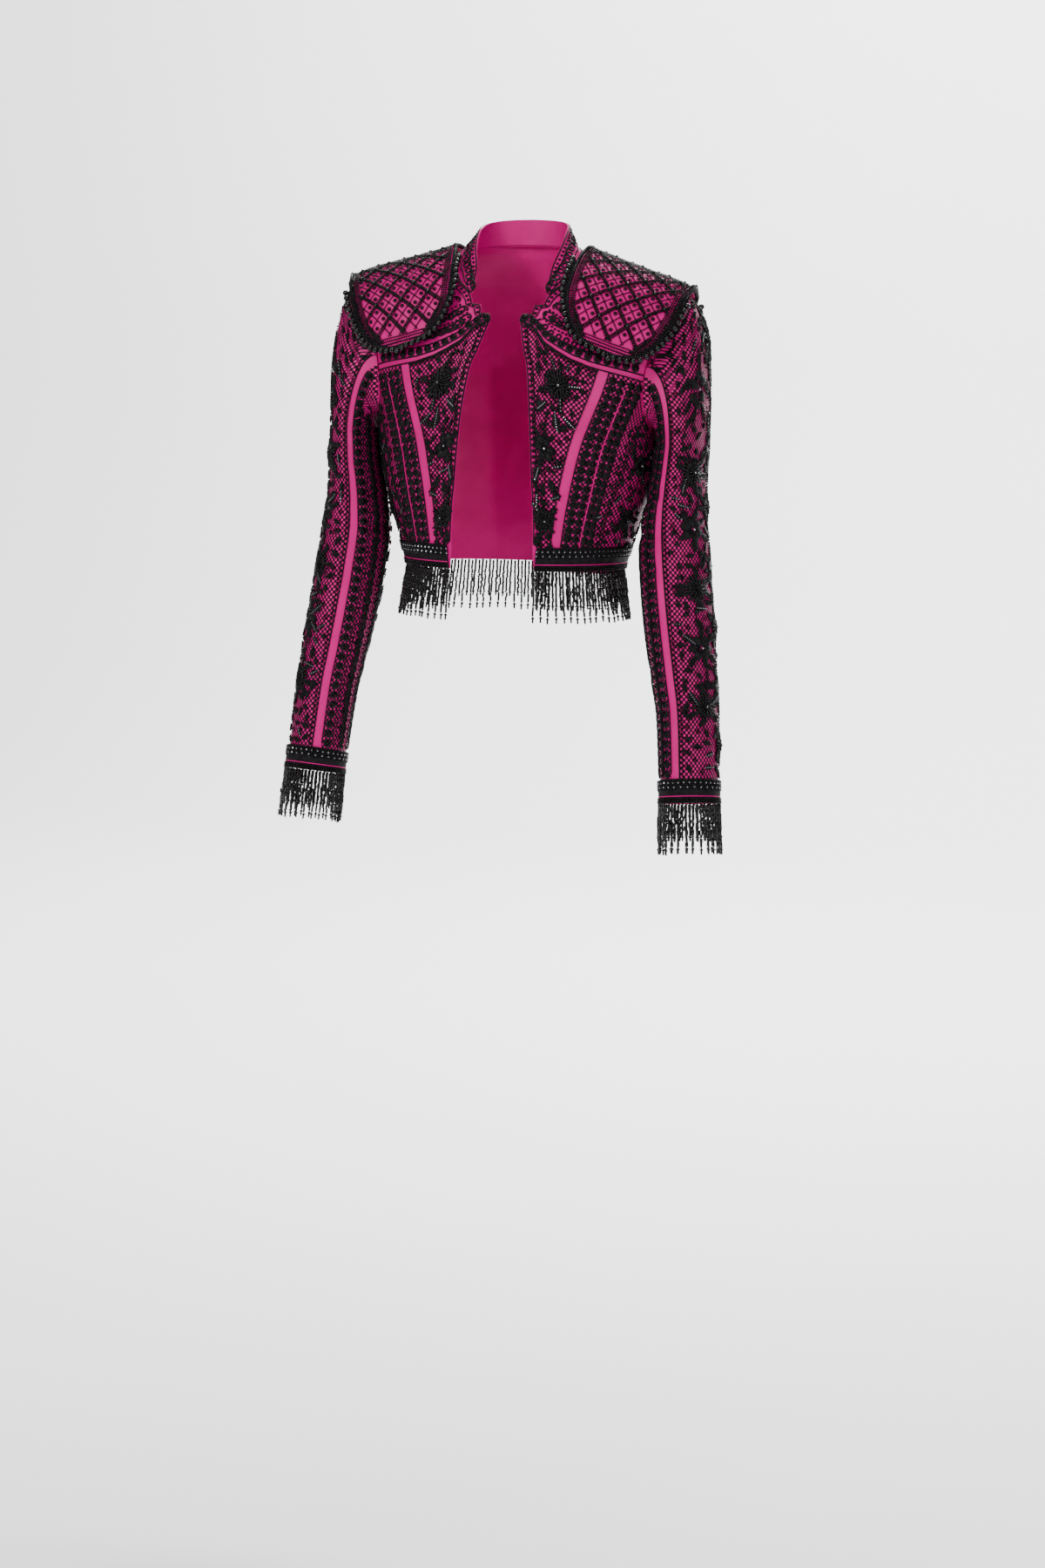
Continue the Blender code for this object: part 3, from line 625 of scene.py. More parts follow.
class Nodes:
    """Short hand for building a node tree."""

    def __init__(self, tree: bpy.types.NodeTree) -> None:
        """Take a tree."""
        self.tree = tree

    def add(self, kind: str, **settings: object) -> bpy.types.Node:
        """A node with its properties set."""
        node = self.tree.nodes.new(kind)
        for name, value in settings.items():
            setattr(node, name, value)
        return node

    def math(self, operation: str, a: object, b: object = None, c: object = None,
             clamp: bool = False) -> bpy.types.NodeSocket:
        """Result of a math node on sockets or numbers."""
        node = self.add("ShaderNodeMath", operation=operation, use_clamp=clamp)
        for i, value in enumerate((a, b, c)):
            if value is not None:
                self.feed(value, node.inputs[i])
        return node.outputs[0]

    def feed(self, value: object, socket: bpy.types.NodeSocket) -> None:
        """Link a socket or set a constant."""
        if isinstance(value, bpy.types.NodeSocket):
            self.tree.links.new(value, socket)
        else:
            socket.default_value = value

    def noise(self, place: object, scale: float) -> bpy.types.Node:
        """Noise at a place."""
        node = self.add("ShaderNodeTexNoise")
        self.feed(place, node.inputs["Vector"])
        self.feed(scale, node.inputs["Scale"])
        return node

    def bump(self, height: object, strength: float, distance: float,
             under: object = None) -> bpy.types.NodeSocket:
        """Normal of a height, over another normal where one is given."""
        node = self.add("ShaderNodeBump")
        self.feed(height, node.inputs["Height"])
        self.feed(strength, node.inputs["Strength"])
        self.feed(distance, node.inputs["Distance"])
        if under is not None:
            self.feed(under, node.inputs["Normal"])
        return node.outputs[0]

    def ramp(self, value: object, low: float, high: float) -> bpy.types.NodeSocket:
        """0 below low, 1 above high, smooth between."""
        node = self.add("ShaderNodeMapRange", interpolation_type="SMOOTHSTEP")
        for name, item in (("Value", value), ("From Min", low), ("From Max", high)):
            self.feed(item, node.inputs[name])
        return node.outputs["Result"]

    def mix(self, factor: object, a: object, b: object) -> bpy.types.NodeSocket:
        """Colour between a and b."""
        node = self.add("ShaderNodeMix", data_type="RGBA")
        sockets = [s for s in node.inputs if s.type == "RGBA"]
        self.feed(factor, node.inputs[0])
        self.feed(a, sockets[0])
        self.feed(b, sockets[1])
        return next(s for s in node.outputs if s.type == "RGBA")

    def blend(self, factor: object, a: object, b: object) -> bpy.types.NodeSocket:
        """Number between a and b."""
        node = self.add("ShaderNodeMix", data_type="FLOAT")
        for value, socket in zip((factor, a, b), [s for s in node.inputs if s.type == "VALUE"]):
            self.feed(value, socket)
        return next(s for s in node.outputs if s.type == "VALUE")


def shader_group(name: str, inputs: dict[str, tuple[str, object]], outputs: Sequence[str]) -> Nodes:
    """An empty shader node group with its sockets.

    Args:
        name: The group's name.
        inputs: Socket type and default by input name.
        outputs: Names of number outputs.

    Returns:
        Short hand for the group's tree, with its input and output nodes added.
    """
    tree = bpy.data.node_groups.new(name, "ShaderNodeTree")
    for label, (kind, default) in inputs.items():
        socket = tree.interface.new_socket(label, in_out="INPUT", socket_type=kind)
        if default is not None:
            socket.default_value = default
    for label in outputs:
        tree.interface.new_socket(label, in_out="OUTPUT", socket_type="NodeSocketFloat")
    nodes = Nodes(tree)
    nodes.add("NodeGroupInput")
    nodes.add("NodeGroupOutput")
    return nodes


class Effects:
    """Node groups that several finishes share."""

    def __init__(self) -> None:
        """Build the groups."""
        self.weave = self._weave()
        self.net = self._net()
        self.wear = self._wear()

    def _weave(self) -> bpy.types.NodeTree:
        """Satin floats: fine ribs across, broken up by noise; a height."""
        g = shader_group("Weave", {"Vector": ("NodeSocketVector", None),
                                   "Pitch": ("NodeSocketFloat", 0.0007)}, ["Height"])
        source, sink = g.tree.nodes["Group Input"], g.tree.nodes["Group Output"]
        split = g.add("ShaderNodeSeparateXYZ")
        g.feed(source.outputs["Vector"], split.inputs[0])
        turns = [g.math("DIVIDE", split.outputs[i], source.outputs["Pitch"]) for i in (0, 1)]
        rib = g.math("SINE", g.math("MULTIPLY", turns[1], math.tau))
        floats = g.math("SINE", g.math("ADD", g.math("MULTIPLY", turns[0], math.tau / 4),
                                       g.math("MULTIPLY", turns[1], math.tau / 8)))
        noise = g.noise(source.outputs["Vector"], 900.0)
        mixed = g.math("ADD", g.math("MULTIPLY", rib, 0.5), g.math("MULTIPLY", floats, 0.3))
        g.feed(g.math("ADD", mixed, noise.outputs[0]), sink.inputs["Height"])
        return g.tree

    def _net(self) -> bpy.types.NodeTree:
        """Knotted lattice of black thread: a mask and a height."""
        g = shader_group("Net", {"Vector": ("NodeSocketVector", None), "Pitch": ("NodeSocketFloat", 0.005),
                                 "Thread": ("NodeSocketFloat", 0.16), "Knot": ("NodeSocketFloat", 0.3)},
                         ["Mask", "Height"])
        source, sink = g.tree.nodes["Group Input"], g.tree.nodes["Group Output"]
        noise = g.noise(source.outputs["Vector"], 260.0)
        wobble = g.add("ShaderNodeVectorMath", operation="MULTIPLY_ADD")
        g.feed(noise.outputs["Color"], wobble.inputs[0])
        wobble.inputs[1].default_value = (0.0011, 0.0011, 0)
        g.feed(source.outputs["Vector"], wobble.inputs[2])
        split = g.add("ShaderNodeSeparateXYZ")
        g.feed(wobble.outputs[0], split.inputs[0])
        u = g.math("DIVIDE", split.outputs[0], source.outputs["Pitch"])
        v = g.math("DIVIDE", split.outputs[1], source.outputs["Pitch"])
        lines = []
        for value in (g.math("ADD", u, v), g.math("SUBTRACT", u, v)):
            lines.append(g.math("ABSOLUTE", g.math("SUBTRACT", g.math("FRACT", value), 0.5)))
        near = g.math("MINIMUM", *lines)
        knot = g.math("SQRT", g.math("ADD", g.math("POWER", lines[0], 2.0), g.math("POWER", lines[1], 2.0)))
        thread = source.outputs["Thread"]
        line = g.math("SUBTRACT", 1.0, g.ramp(near, g.math("MULTIPLY", thread, 0.5), thread))
        spot = g.math("SUBTRACT", 1.0, g.ramp(knot, g.math("MULTIPLY", source.outputs["Knot"], 0.75),
                                              source.outputs["Knot"]))
        mask = g.math("MAXIMUM", line, spot)
        g.feed(mask, sink.inputs["Mask"])
        g.feed(g.math("ADD", g.math("MULTIPLY", line, 0.5), spot), sink.inputs["Height"])
        return g.tree

    def _wear(self) -> bpy.types.NodeTree:
        """Slow unevenness of tone, 0 to 1."""
        g = shader_group("Unevenness", {"Vector": ("NodeSocketVector", None),
                                        "Scale": ("NodeSocketFloat", 30.0)}, ["Value"])
        source, sink = g.tree.nodes["Group Input"], g.tree.nodes["Group Output"]
        noise = g.noise(source.outputs["Vector"], source.outputs["Scale"])
        noise.inputs["Detail"].default_value = 3
        g.feed(g.ramp(noise.outputs[0], 0.3, 0.7), sink.inputs["Value"])
        return g.tree


@dataclass(frozen=True)
class Colour:
    """Linear colours of the jacket."""

    satin: tuple[float, ...] = (0.60, 0.0008, 0.19, 1)
    # Shaded satin colour: painted shade mixed in towards grazing angles, and also the random darker tone of
    # the satin.
    satin_deep: tuple[float, ...] = (0.30, 0.0008, 0.08, 1)
    black: tuple[float, ...] = (0.004, 0.0035, 0.0045, 1)
    worn_black: tuple[float, ...] = (0.009, 0.007, 0.009, 1)
    jet: tuple[float, ...] = (0.003, 0.003, 0.0035, 1)
    crystal: tuple[float, ...] = (0.30, 0.29, 0.32, 1)


COLOUR = Colour()


class Finishes:
    """Every material of the jacket."""

    def __init__(self, effects: Effects) -> None:
        """Build them."""
        self.effects = effects
        self.satin = self.cloth("satin", net=False)
        self.ground = self.cloth("satin_net", net=True)
        self.soutache = self.thread("soutache", 0.62, 2400.0)
        self.velvet = self.thread("black_band", 0.78, 1500.0)
        self.jet = self.bead("jet_bead", COLOUR.jet, 0.20, 0.0)
        self.pearl = self.bead("black_pearl", COLOUR.jet, 0.14, 0.25)
        self.crystal = self.bead("clear_bead", COLOUR.crystal, 0.06, 1.0, metallic=0.85)

    def _start(self, name: str) -> tuple[Nodes, bpy.types.Node, bpy.types.Material]:
        """A new material's node tree with its Principled shader."""
        material = bpy.data.materials.new(name)
        material.use_nodes = True
        g = Nodes(material.node_tree)
        return g, material.node_tree.nodes["Principled BSDF"], material

    def _group(self, g: Nodes, tree: bpy.types.NodeTree, **values: object) -> bpy.types.Node:
        """A node group placed in a material, its inputs set by name."""
        node = g.add("ShaderNodeGroup", node_tree=tree)
        for name, value in values.items():
            g.feed(value, node.inputs[name])
        return node

    def cloth(self, name: str, net: bool) -> bpy.types.Material:
        """Magenta satin, plain or under a knotted black net, with painted shade towards grazing angles.

        Args:
            name: The material's name.
            net: True where the net lies over it.

        Returns:
            The material.
        """
        g, shader, material = self._start(name)
        uv = g.add("ShaderNodeUVMap", uv_map="Cut").outputs[0]
        place = g.add("ShaderNodeTexCoord").outputs["Object"]
        tone = self._group(g, self.effects.wear, Vector=place, Scale=26.0).outputs[0]
        weave = self._group(g, self.effects.weave, Vector=uv, Pitch=0.0008).outputs["Height"]
        # Painted shade: the satin's colour darkens towards grazing angles, by the Layer Weight facing.
        layer = g.add("ShaderNodeLayerWeight")
        layer.inputs["Blend"].default_value = 0.35
        pink = g.mix(g.math("MULTIPLY", layer.outputs["Facing"], 0.75), COLOUR.satin, COLOUR.satin_deep)
        pink = g.mix(g.math("MULTIPLY", tone, 0.22), pink, COLOUR.satin_deep)
        normal, rough = g.bump(weave, 0.16, 0.0002), g.blend(tone, 0.34, 0.46)
        if net:
            threads = self._group(g, self.effects.net, Vector=uv, Pitch=0.0066, Thread=0.185, Knot=0.41)
            edge = g.add("ShaderNodeSeparateXYZ")
            g.feed(g.add("ShaderNodeUVMap", uv_map="Bare").outputs[0], edge.inputs[0])
            covered = g.math("MULTIPLY", g.math("GREATER_THAN", edge.outputs[0], 0.0),
                             g.math("GREATER_THAN", edge.outputs[1], 0.0))
            mask = g.math("MULTIPLY", threads.outputs["Mask"], covered)
            pink = g.mix(mask, pink, COLOUR.black)
            rough = g.blend(mask, rough, 0.55)
            normal = g.bump(g.math("MULTIPLY", threads.outputs["Height"], covered), 0.8, 0.0009, normal)
        g.feed(pink, shader.inputs["Base Color"])
        g.feed(rough, shader.inputs["Roughness"])
        g.feed(normal, shader.inputs["Normal"])
        shader.inputs["Anisotropic"].default_value = 0.35
        shader.inputs["Sheen Weight"].default_value = 0.02
        shader.inputs["Sheen Roughness"].default_value = 0.4
        shader.inputs["Sheen Tint"].default_value = (1.0, 0.15, 0.5, 1)
        shader.inputs["Specular IOR Level"].default_value = 0.14
        return material

    def thread(self, name: str, roughness: float, scale: float) -> bpy.types.Material:
        """Matte black braid or pile with a fine grain.

        Args:
            name: The material's name.
            roughness: Its roughness.
            scale: Scale of the grain.

        Returns:
            The material.
        """
        g, shader, material = self._start(name)
        place = g.add("ShaderNodeTexCoord").outputs["Object"]
        tone = self._group(g, self.effects.wear, Vector=place, Scale=140.0).outputs[0]
        grain = g.bump(g.noise(place, scale).outputs[0], 0.6, 0.0003)
        g.feed(g.mix(tone, COLOUR.black, COLOUR.worn_black), shader.inputs["Base Color"])
        g.feed(g.blend(tone, roughness, roughness - 0.14), shader.inputs["Roughness"])
        g.feed(grain, shader.inputs["Normal"])
        shader.inputs["Specular IOR Level"].default_value = 0.12
        return material

    def bead(self, name: str, colour: tuple[float, ...], roughness: float, coat: float,
             metallic: float = 0.0) -> bpy.types.Material:
        """Glass bead.

        Args:
            name: The material's name.
            colour: Base colour.
            roughness: Lowest roughness.
            coat: Weight of its clear coat.
            metallic: Share of mirror backing.

        Returns:
            The material.
        """
        g, shader, material = self._start(name)
        place = g.add("ShaderNodeTexCoord").outputs["Object"]
        tone = self._group(g, self.effects.wear, Vector=place, Scale=520.0).outputs[0]
        dull = tuple(0.55 * c for c in colour[:3]) + (1,)
        g.feed(g.mix(tone, colour, dull), shader.inputs["Base Color"])
        g.feed(g.blend(tone, roughness, roughness + 0.16), shader.inputs["Roughness"])
        shader.inputs["Metallic"].default_value = metallic
        shader.inputs["Coat Weight"].default_value = coat
        shader.inputs["Coat Roughness"].default_value = 0.05
        shader.inputs["IOR"].default_value = 1.5
        shader.inputs["Specular IOR Level"].default_value = 0.22 if metallic == 0 else 0.5
        return material


# ---------------------------------------------------------------- beads and cords

class Kind(Enum):
    """Shapes that are laid on the cloth many times."""

    ROUND = "round_beads"
    BUGLE = "bugles"
    RING = "rings"
    PEARL = "pearls"
    CLEAR = "clear_beads"
    MOUND = "stitched_mounds"


class BeadShapes:
    """One low mesh of each kind: its facing is +Z, its length +X, its size one."""

    # segments, rings and radius of the kinds that are balls
    BALLS = {Kind.ROUND: (4, 2, 0.58), Kind.PEARL: (8, 6, 0.5), Kind.MOUND: (7, 3, 0.5)}
    BUGLE_SIDES, BUGLE_RADIUS = 4, 0.55
    RING_AROUND, RING_SIDES, RING_RADIUS, RING_THICK = 8, 3, 0.35, 0.15
    SHARP = math.radians(115)

    def __init__(self) -> None:
        """Build the meshes."""
        self.objects = {kind: self._object(kind) for kind in Kind}

    def _object(self, kind: Kind) -> bpy.types.Object:
        """The source object of a kind, linked only while pieces are made."""
        bm = bmesh.new()
        if kind in self.BALLS:
            segments, rings, radius = self.BALLS[kind]
            bmesh.ops.create_uvsphere(bm, u_segments=segments, v_segments=rings, radius=radius)
        elif kind is Kind.CLEAR:
            bmesh.ops.create_icosphere(bm, subdivisions=1, radius=0.5)
        elif kind is Kind.BUGLE:
            self._bugle(bm)
        else:
            self._ring(bm)
        mesh = bpy.data.meshes.new(f"shape_{kind.value}")
        bm.to_mesh(mesh)
        bm.free()
        if kind is not Kind.CLEAR:
            mesh.shade_smooth()
            mesh.set_sharp_from_angle(angle=self.SHARP)
        return linked(mesh.name, mesh)

    def _bugle(self, bm: bmesh.types.BMesh) -> None:
        """Straight bar along X."""
        sides, radius = self.BUGLE_SIDES, self.BUGLE_RADIUS
        foot, head = ([bm.verts.new((x, radius * math.cos(a), radius * math.sin(a)))
                       for a in np.linspace(0, math.tau, sides, endpoint=False)] for x in (-0.5, 0.5))
        for k in range(sides):
            j = (k + 1) % sides
            bm.faces.new((foot[k], foot[j], head[j], head[k]))
        bm.faces.new(foot[::-1])
        bm.faces.new(head)
        bmesh.ops.recalc_face_normals(bm, faces=bm.faces)

    def _ring(self, bm: bmesh.types.BMesh) -> None:
        """Ring lying in XY."""
        radius, thick = self.RING_RADIUS, self.RING_THICK
        grid = [[bm.verts.new(((radius + thick * math.cos(b)) * math.cos(a),
                               (radius + thick * math.cos(b)) * math.sin(a), thick * math.sin(b)))
                 for b in np.linspace(0, math.tau, self.RING_SIDES, endpoint=False)]
                for a in np.linspace(0, math.tau, self.RING_AROUND, endpoint=False)]
        for i in range(self.RING_AROUND):
            for k in range(self.RING_SIDES):
                a, b, j = grid[i], grid[(i + 1) % self.RING_AROUND], (k + 1) % self.RING_SIDES
                bm.faces.new((a[k], b[k], b[j], a[j]))
        bmesh.ops.recalc_face_normals(bm, faces=bm.faces)

    def clear(self) -> None:
        """Take the source objects away once every piece is plain."""
        for obj in self.objects.values():
            bpy.data.objects.remove(obj)


class GeometryTrees:
    """The two node trees that lay beads on points and draw cords along lines."""

    def __init__(self) -> None:
        """Build the trees."""
        self.scatter, self.cord = self._scatter(), self._cord()

    @staticmethod
    def _start(name: str, inputs: dict[str, str]) -> tuple[Nodes, bpy.types.Node, bpy.types.Node]:
        """An empty geometry tree with its inputs' socket types by name."""
        tree = bpy.data.node_groups.new(name, "GeometryNodeTree")
        tree.is_modifier = True
        tree.interface.new_socket("Geometry", in_out="INPUT", socket_type="NodeSocketGeometry")
        for label, kind in inputs.items():
            tree.interface.new_socket(label, in_out="INPUT", socket_type=kind)
        tree.interface.new_socket("Geometry", in_out="OUTPUT", socket_type="NodeSocketGeometry")
        g = Nodes(tree)
        return g, g.add("NodeGroupInput"), g.add("NodeGroupOutput")

    def _scatter(self) -> bpy.types.NodeTree:
        """Instances of one shape on points that carry a facing, a direction and a size."""
        g, source, sink = self._start("Lay Beads", {"Bead": "NodeSocketObject",
                                                    "Finish": "NodeSocketMaterial"})
        info = g.add("GeometryNodeObjectInfo")
        g.feed(source.outputs["Bead"], info.inputs["Object"])
        named = {}
        for label in ("facing", "along", "size"):
            named[label] = g.add("GeometryNodeInputNamedAttribute", data_type="FLOAT_VECTOR")
            named[label].inputs["Name"].default_value = label
        turn = g.add("FunctionNodeAxesToRotation", primary_axis="Z", secondary_axis="X")
        g.feed(named["facing"].outputs[0], turn.inputs[0])
        g.feed(named["along"].outputs[0], turn.inputs[1])
        lay = g.add("GeometryNodeInstanceOnPoints")
        g.feed(source.outputs["Geometry"], lay.inputs["Points"])
        g.feed(info.outputs["Geometry"], lay.inputs["Instance"])
        g.feed(turn.outputs[0], lay.inputs["Rotation"])
        g.feed(named["size"].outputs[0], lay.inputs["Scale"])
        self._finish(g, source, lay.outputs[0], sink)
        return g.tree

    def _cord(self) -> bpy.types.NodeTree:
        """Round cords along the edges of a mesh of lines."""
        g, source, sink = self._start("Draw Cords", {"Radius": "NodeSocketFloat", "Sides": "NodeSocketInt",
                                                     "Finish": "NodeSocketMaterial"})
        line = g.add("GeometryNodeMeshToCurve")
        g.feed(source.outputs["Geometry"], line.inputs["Mesh"])
        round_ = g.add("GeometryNodeCurvePrimitiveCircle", mode="RADIUS")
        g.feed(source.outputs["Sides"], round_.inputs["Resolution"])
        g.feed(source.outputs["Radius"], round_.inputs["Radius"])
        tube = g.add("GeometryNodeCurveToMesh")
        g.feed(line.outputs[0], tube.inputs["Curve"])
        g.feed(round_.outputs[0], tube.inputs["Profile Curve"])
        tube.inputs["Fill Caps"].default_value = True
        self._finish(g, source, tube.outputs[0], sink)
        return g.tree

    @staticmethod
    def _finish(g: Nodes, source: bpy.types.Node, geometry: bpy.types.NodeSocket,
                sink: bpy.types.Node) -> None:
        """Make it real, give it its material and put it out."""
        real, dress = g.add("GeometryNodeRealizeInstances"), g.add("GeometryNodeSetMaterial")
        g.feed(geometry, real.inputs[0])
        g.feed(real.outputs[0], dress.inputs["Geometry"])
        g.feed(source.outputs["Finish"], dress.inputs["Material"])
        g.feed(dress.outputs[0], sink.inputs[0])

    @staticmethod
    def apply(obj: bpy.types.Object, tree: bpy.types.NodeTree,
              values: dict[str, object]) -> bpy.types.Object:
        """Run a tree on an object and keep the result as a plain mesh.

        Args:
            obj: Object with the tree's input mesh; it is used up.
            tree: The geometry tree.
            values: Modifier inputs by name.

        Returns:
            A new plain object of the same name.
        """
        modifier = obj.modifiers.new("work", "NODES")
        modifier.node_group = tree
        for item in tree.interface.items_tree:
            if item.item_type == "SOCKET" and item.in_out == "INPUT" and item.name in values:
                modifier[item.identifier] = values[item.name]
        bpy.context.view_layer.update()
        evaluated = obj.evaluated_get(bpy.context.evaluated_depsgraph_get())
        mesh = bpy.data.meshes.new_from_object(evaluated)
        name = obj.name
        bpy.data.objects.remove(obj)
        return linked(name, mesh)


def hand_in(obj: bpy.types.Object, slot: str, nodes: Sequence[str]) -> bpy.types.Object:
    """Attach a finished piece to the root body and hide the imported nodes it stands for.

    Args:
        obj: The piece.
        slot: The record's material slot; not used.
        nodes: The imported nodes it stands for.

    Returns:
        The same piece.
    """
    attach(obj, "root")
    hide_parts(*nodes)
    log.info("%s: %d faces", obj.name, len(obj.data.polygons))
    return obj


@dataclass
class Kit:
    """What every assembly works with."""

    tailor: Tailor
    finishes: Finishes
    trees: GeometryTrees
    shapes: BeadShapes

    def finish_of(self, kind: Kind) -> bpy.types.Material:
        """The material of a kind of bead."""
        finish = self.finishes
        own = {Kind.PEARL: finish.pearl, Kind.CLEAR: finish.crystal,
               Kind.RING: finish.soutache, Kind.MOUND: finish.soutache}
        return own.get(kind, finish.jet)


class Work:
    """Beadwork and cords being gathered for one part of the jacket."""

    INSIDE_S, INSIDE_T = 0.496, 0.497
    CORD_SIDES = 4
    STITCHED = (Kind.RING, Kind.MOUND)

    def __init__(self, kit: Kit, name: str, nodes: Sequence[str]) -> None:
        """Start with nothing laid."""
        self.kit, self.name, self.nodes = kit, name, nodes
        self.beads: dict[Kind, list[tuple[Array, Array, Array, Array]]] = {}
        self.cords: dict[tuple[str, float], list[Array]] = {}

    def put(self, kind: Kind, points: Array, facing: Array, along: Array,
            size: Sequence[float] | Array) -> None:
        """Lay beads at points.

        Args:
            kind: Their shape.
            points: Their middles.
            facing: Directions out of the cloth.
            along: Directions of their length.
            size: Length, breadth and height, the same for all or one row for each.
        """
        points = np.asarray(points, float).reshape(-1, 3)
        rows = [np.broadcast_to(np.asarray(a, float), points.shape) for a in (facing, along, size)]
        if len(points):
            self.beads.setdefault(kind, []).append((points, *rows))

    def lay(self, kind: Kind, patch: Patch, s: Array, t: Array, size: Sequence[float] | Array,
            lift: Array | float, direction: tuple[Array, Array] | None = None) -> None:
        """Lay beads on a patch.

        Args:
            kind: Their shape.
            patch: The cloth.
            s: Places across.
            t: Places along.
            size: Length, breadth and height.
            lift: Height of their middles over the cloth.
            direction: Offsets in s and t towards their length; across when None.
        """
        s, t = np.broadcast_arrays(np.atleast_1d(np.asarray(s, float)), np.atleast_1d(np.asarray(t, float)))
        ds, dt = direction if direction is not None else (0.01, 0.0)
        ds, dt = np.broadcast_to(ds, s.shape), np.broadcast_to(dt, s.shape)
        inside = (np.abs(s - 0.5) < self.INSIDE_S) & (np.abs(t - 0.5) < self.INSIDE_T)
        lift, size = np.broadcast_to(lift, s.shape), np.broadcast_to(size, s.shape + (3,))
        s, t, ds, dt, lift, size = (a[inside] for a in (s, t, ds, dt, lift, size))
        points, normal = patch.at(s, t, lift)
        ahead = patch.at(s + ds, t + dt)[0] - patch.at(s - ds, t - dt)[0]
        self.put(kind, points, normal, unit(ahead), size)

    def cord(self, finish: str, radius: float, points: Array) -> None:
        """Draw a cord along points."""
        self.cords.setdefault((finish, radius), []).append(np.asarray(points, float))

    def make(self) -> list[bpy.types.Object]:
        """Turn what was laid into plain pieces and attach them to the root body."""
        made = []
        for kind, rows in self.beads.items():
            points, facing, along, size = (np.concatenate(column) for column in zip(*rows))
            mesh = bpy.data.meshes.new("points")
            mesh.from_pydata((points * MM).tolist(), [], [])
            for label, values in (("facing", facing), ("along", along), ("size", size * MM)):
                mesh.attributes.new(label, "FLOAT_VECTOR", "POINT").data.foreach_set("vector", values.ravel())
            piece = GeometryTrees.apply(
                linked(f"{self.name}_{kind.value}", mesh), self.kit.trees.scatter,
                {"Bead": self.kit.shapes.objects[kind], "Finish": self.kit.finish_of(kind)})
            made.append(hand_in(piece, "soutache" if kind in self.STITCHED else "beads", self.nodes))
        for (finish, radius), lines in self.cords.items():
            verts, edges = [], []
            for line in lines:
                start = len(verts)
                verts += (line * MM).tolist()
                edges += [(start + i, start + i + 1) for i in range(len(line) - 1)]
            mesh = bpy.data.meshes.new("lines")
            mesh.from_pydata(verts, edges, [])
            piece = GeometryTrees.apply(
                linked(f"{self.name}_{finish}_{round(radius * 100)}", mesh), self.kit.trees.cord,
                {"Radius": radius * MM, "Sides": self.CORD_SIDES,
                 "Finish": getattr(self.kit.finishes, finish)})
            piece.data.shade_smooth()
            made.append(hand_in(piece, "soutache" if finish == "soutache" else "satin", self.nodes))
        return made


# ---------------------------------------------------------------- ways of embroidery

def run_of(patch: Patch, s: Array, t: Array, pitch: float) -> tuple[Array, Array, Array, Array]:
    """Even places along a path on a patch.

    Args:
        patch: The cloth.
        s: Path across.
        t: Path along.
        pitch: Distance between places.

    Returns:
        s and t of the places, and the steps in s and t towards the next one.
    """
    length = run_length(patch.at(s, t)[0])
    count = max(2, int(round(length[-1] / pitch)) + 1)
    spots = np.linspace(0, length[-1], count)
    s, t = np.interp(spots, length, s), np.interp(spots, length, t)
    return s, t, np.gradient(s), np.gradient(t)


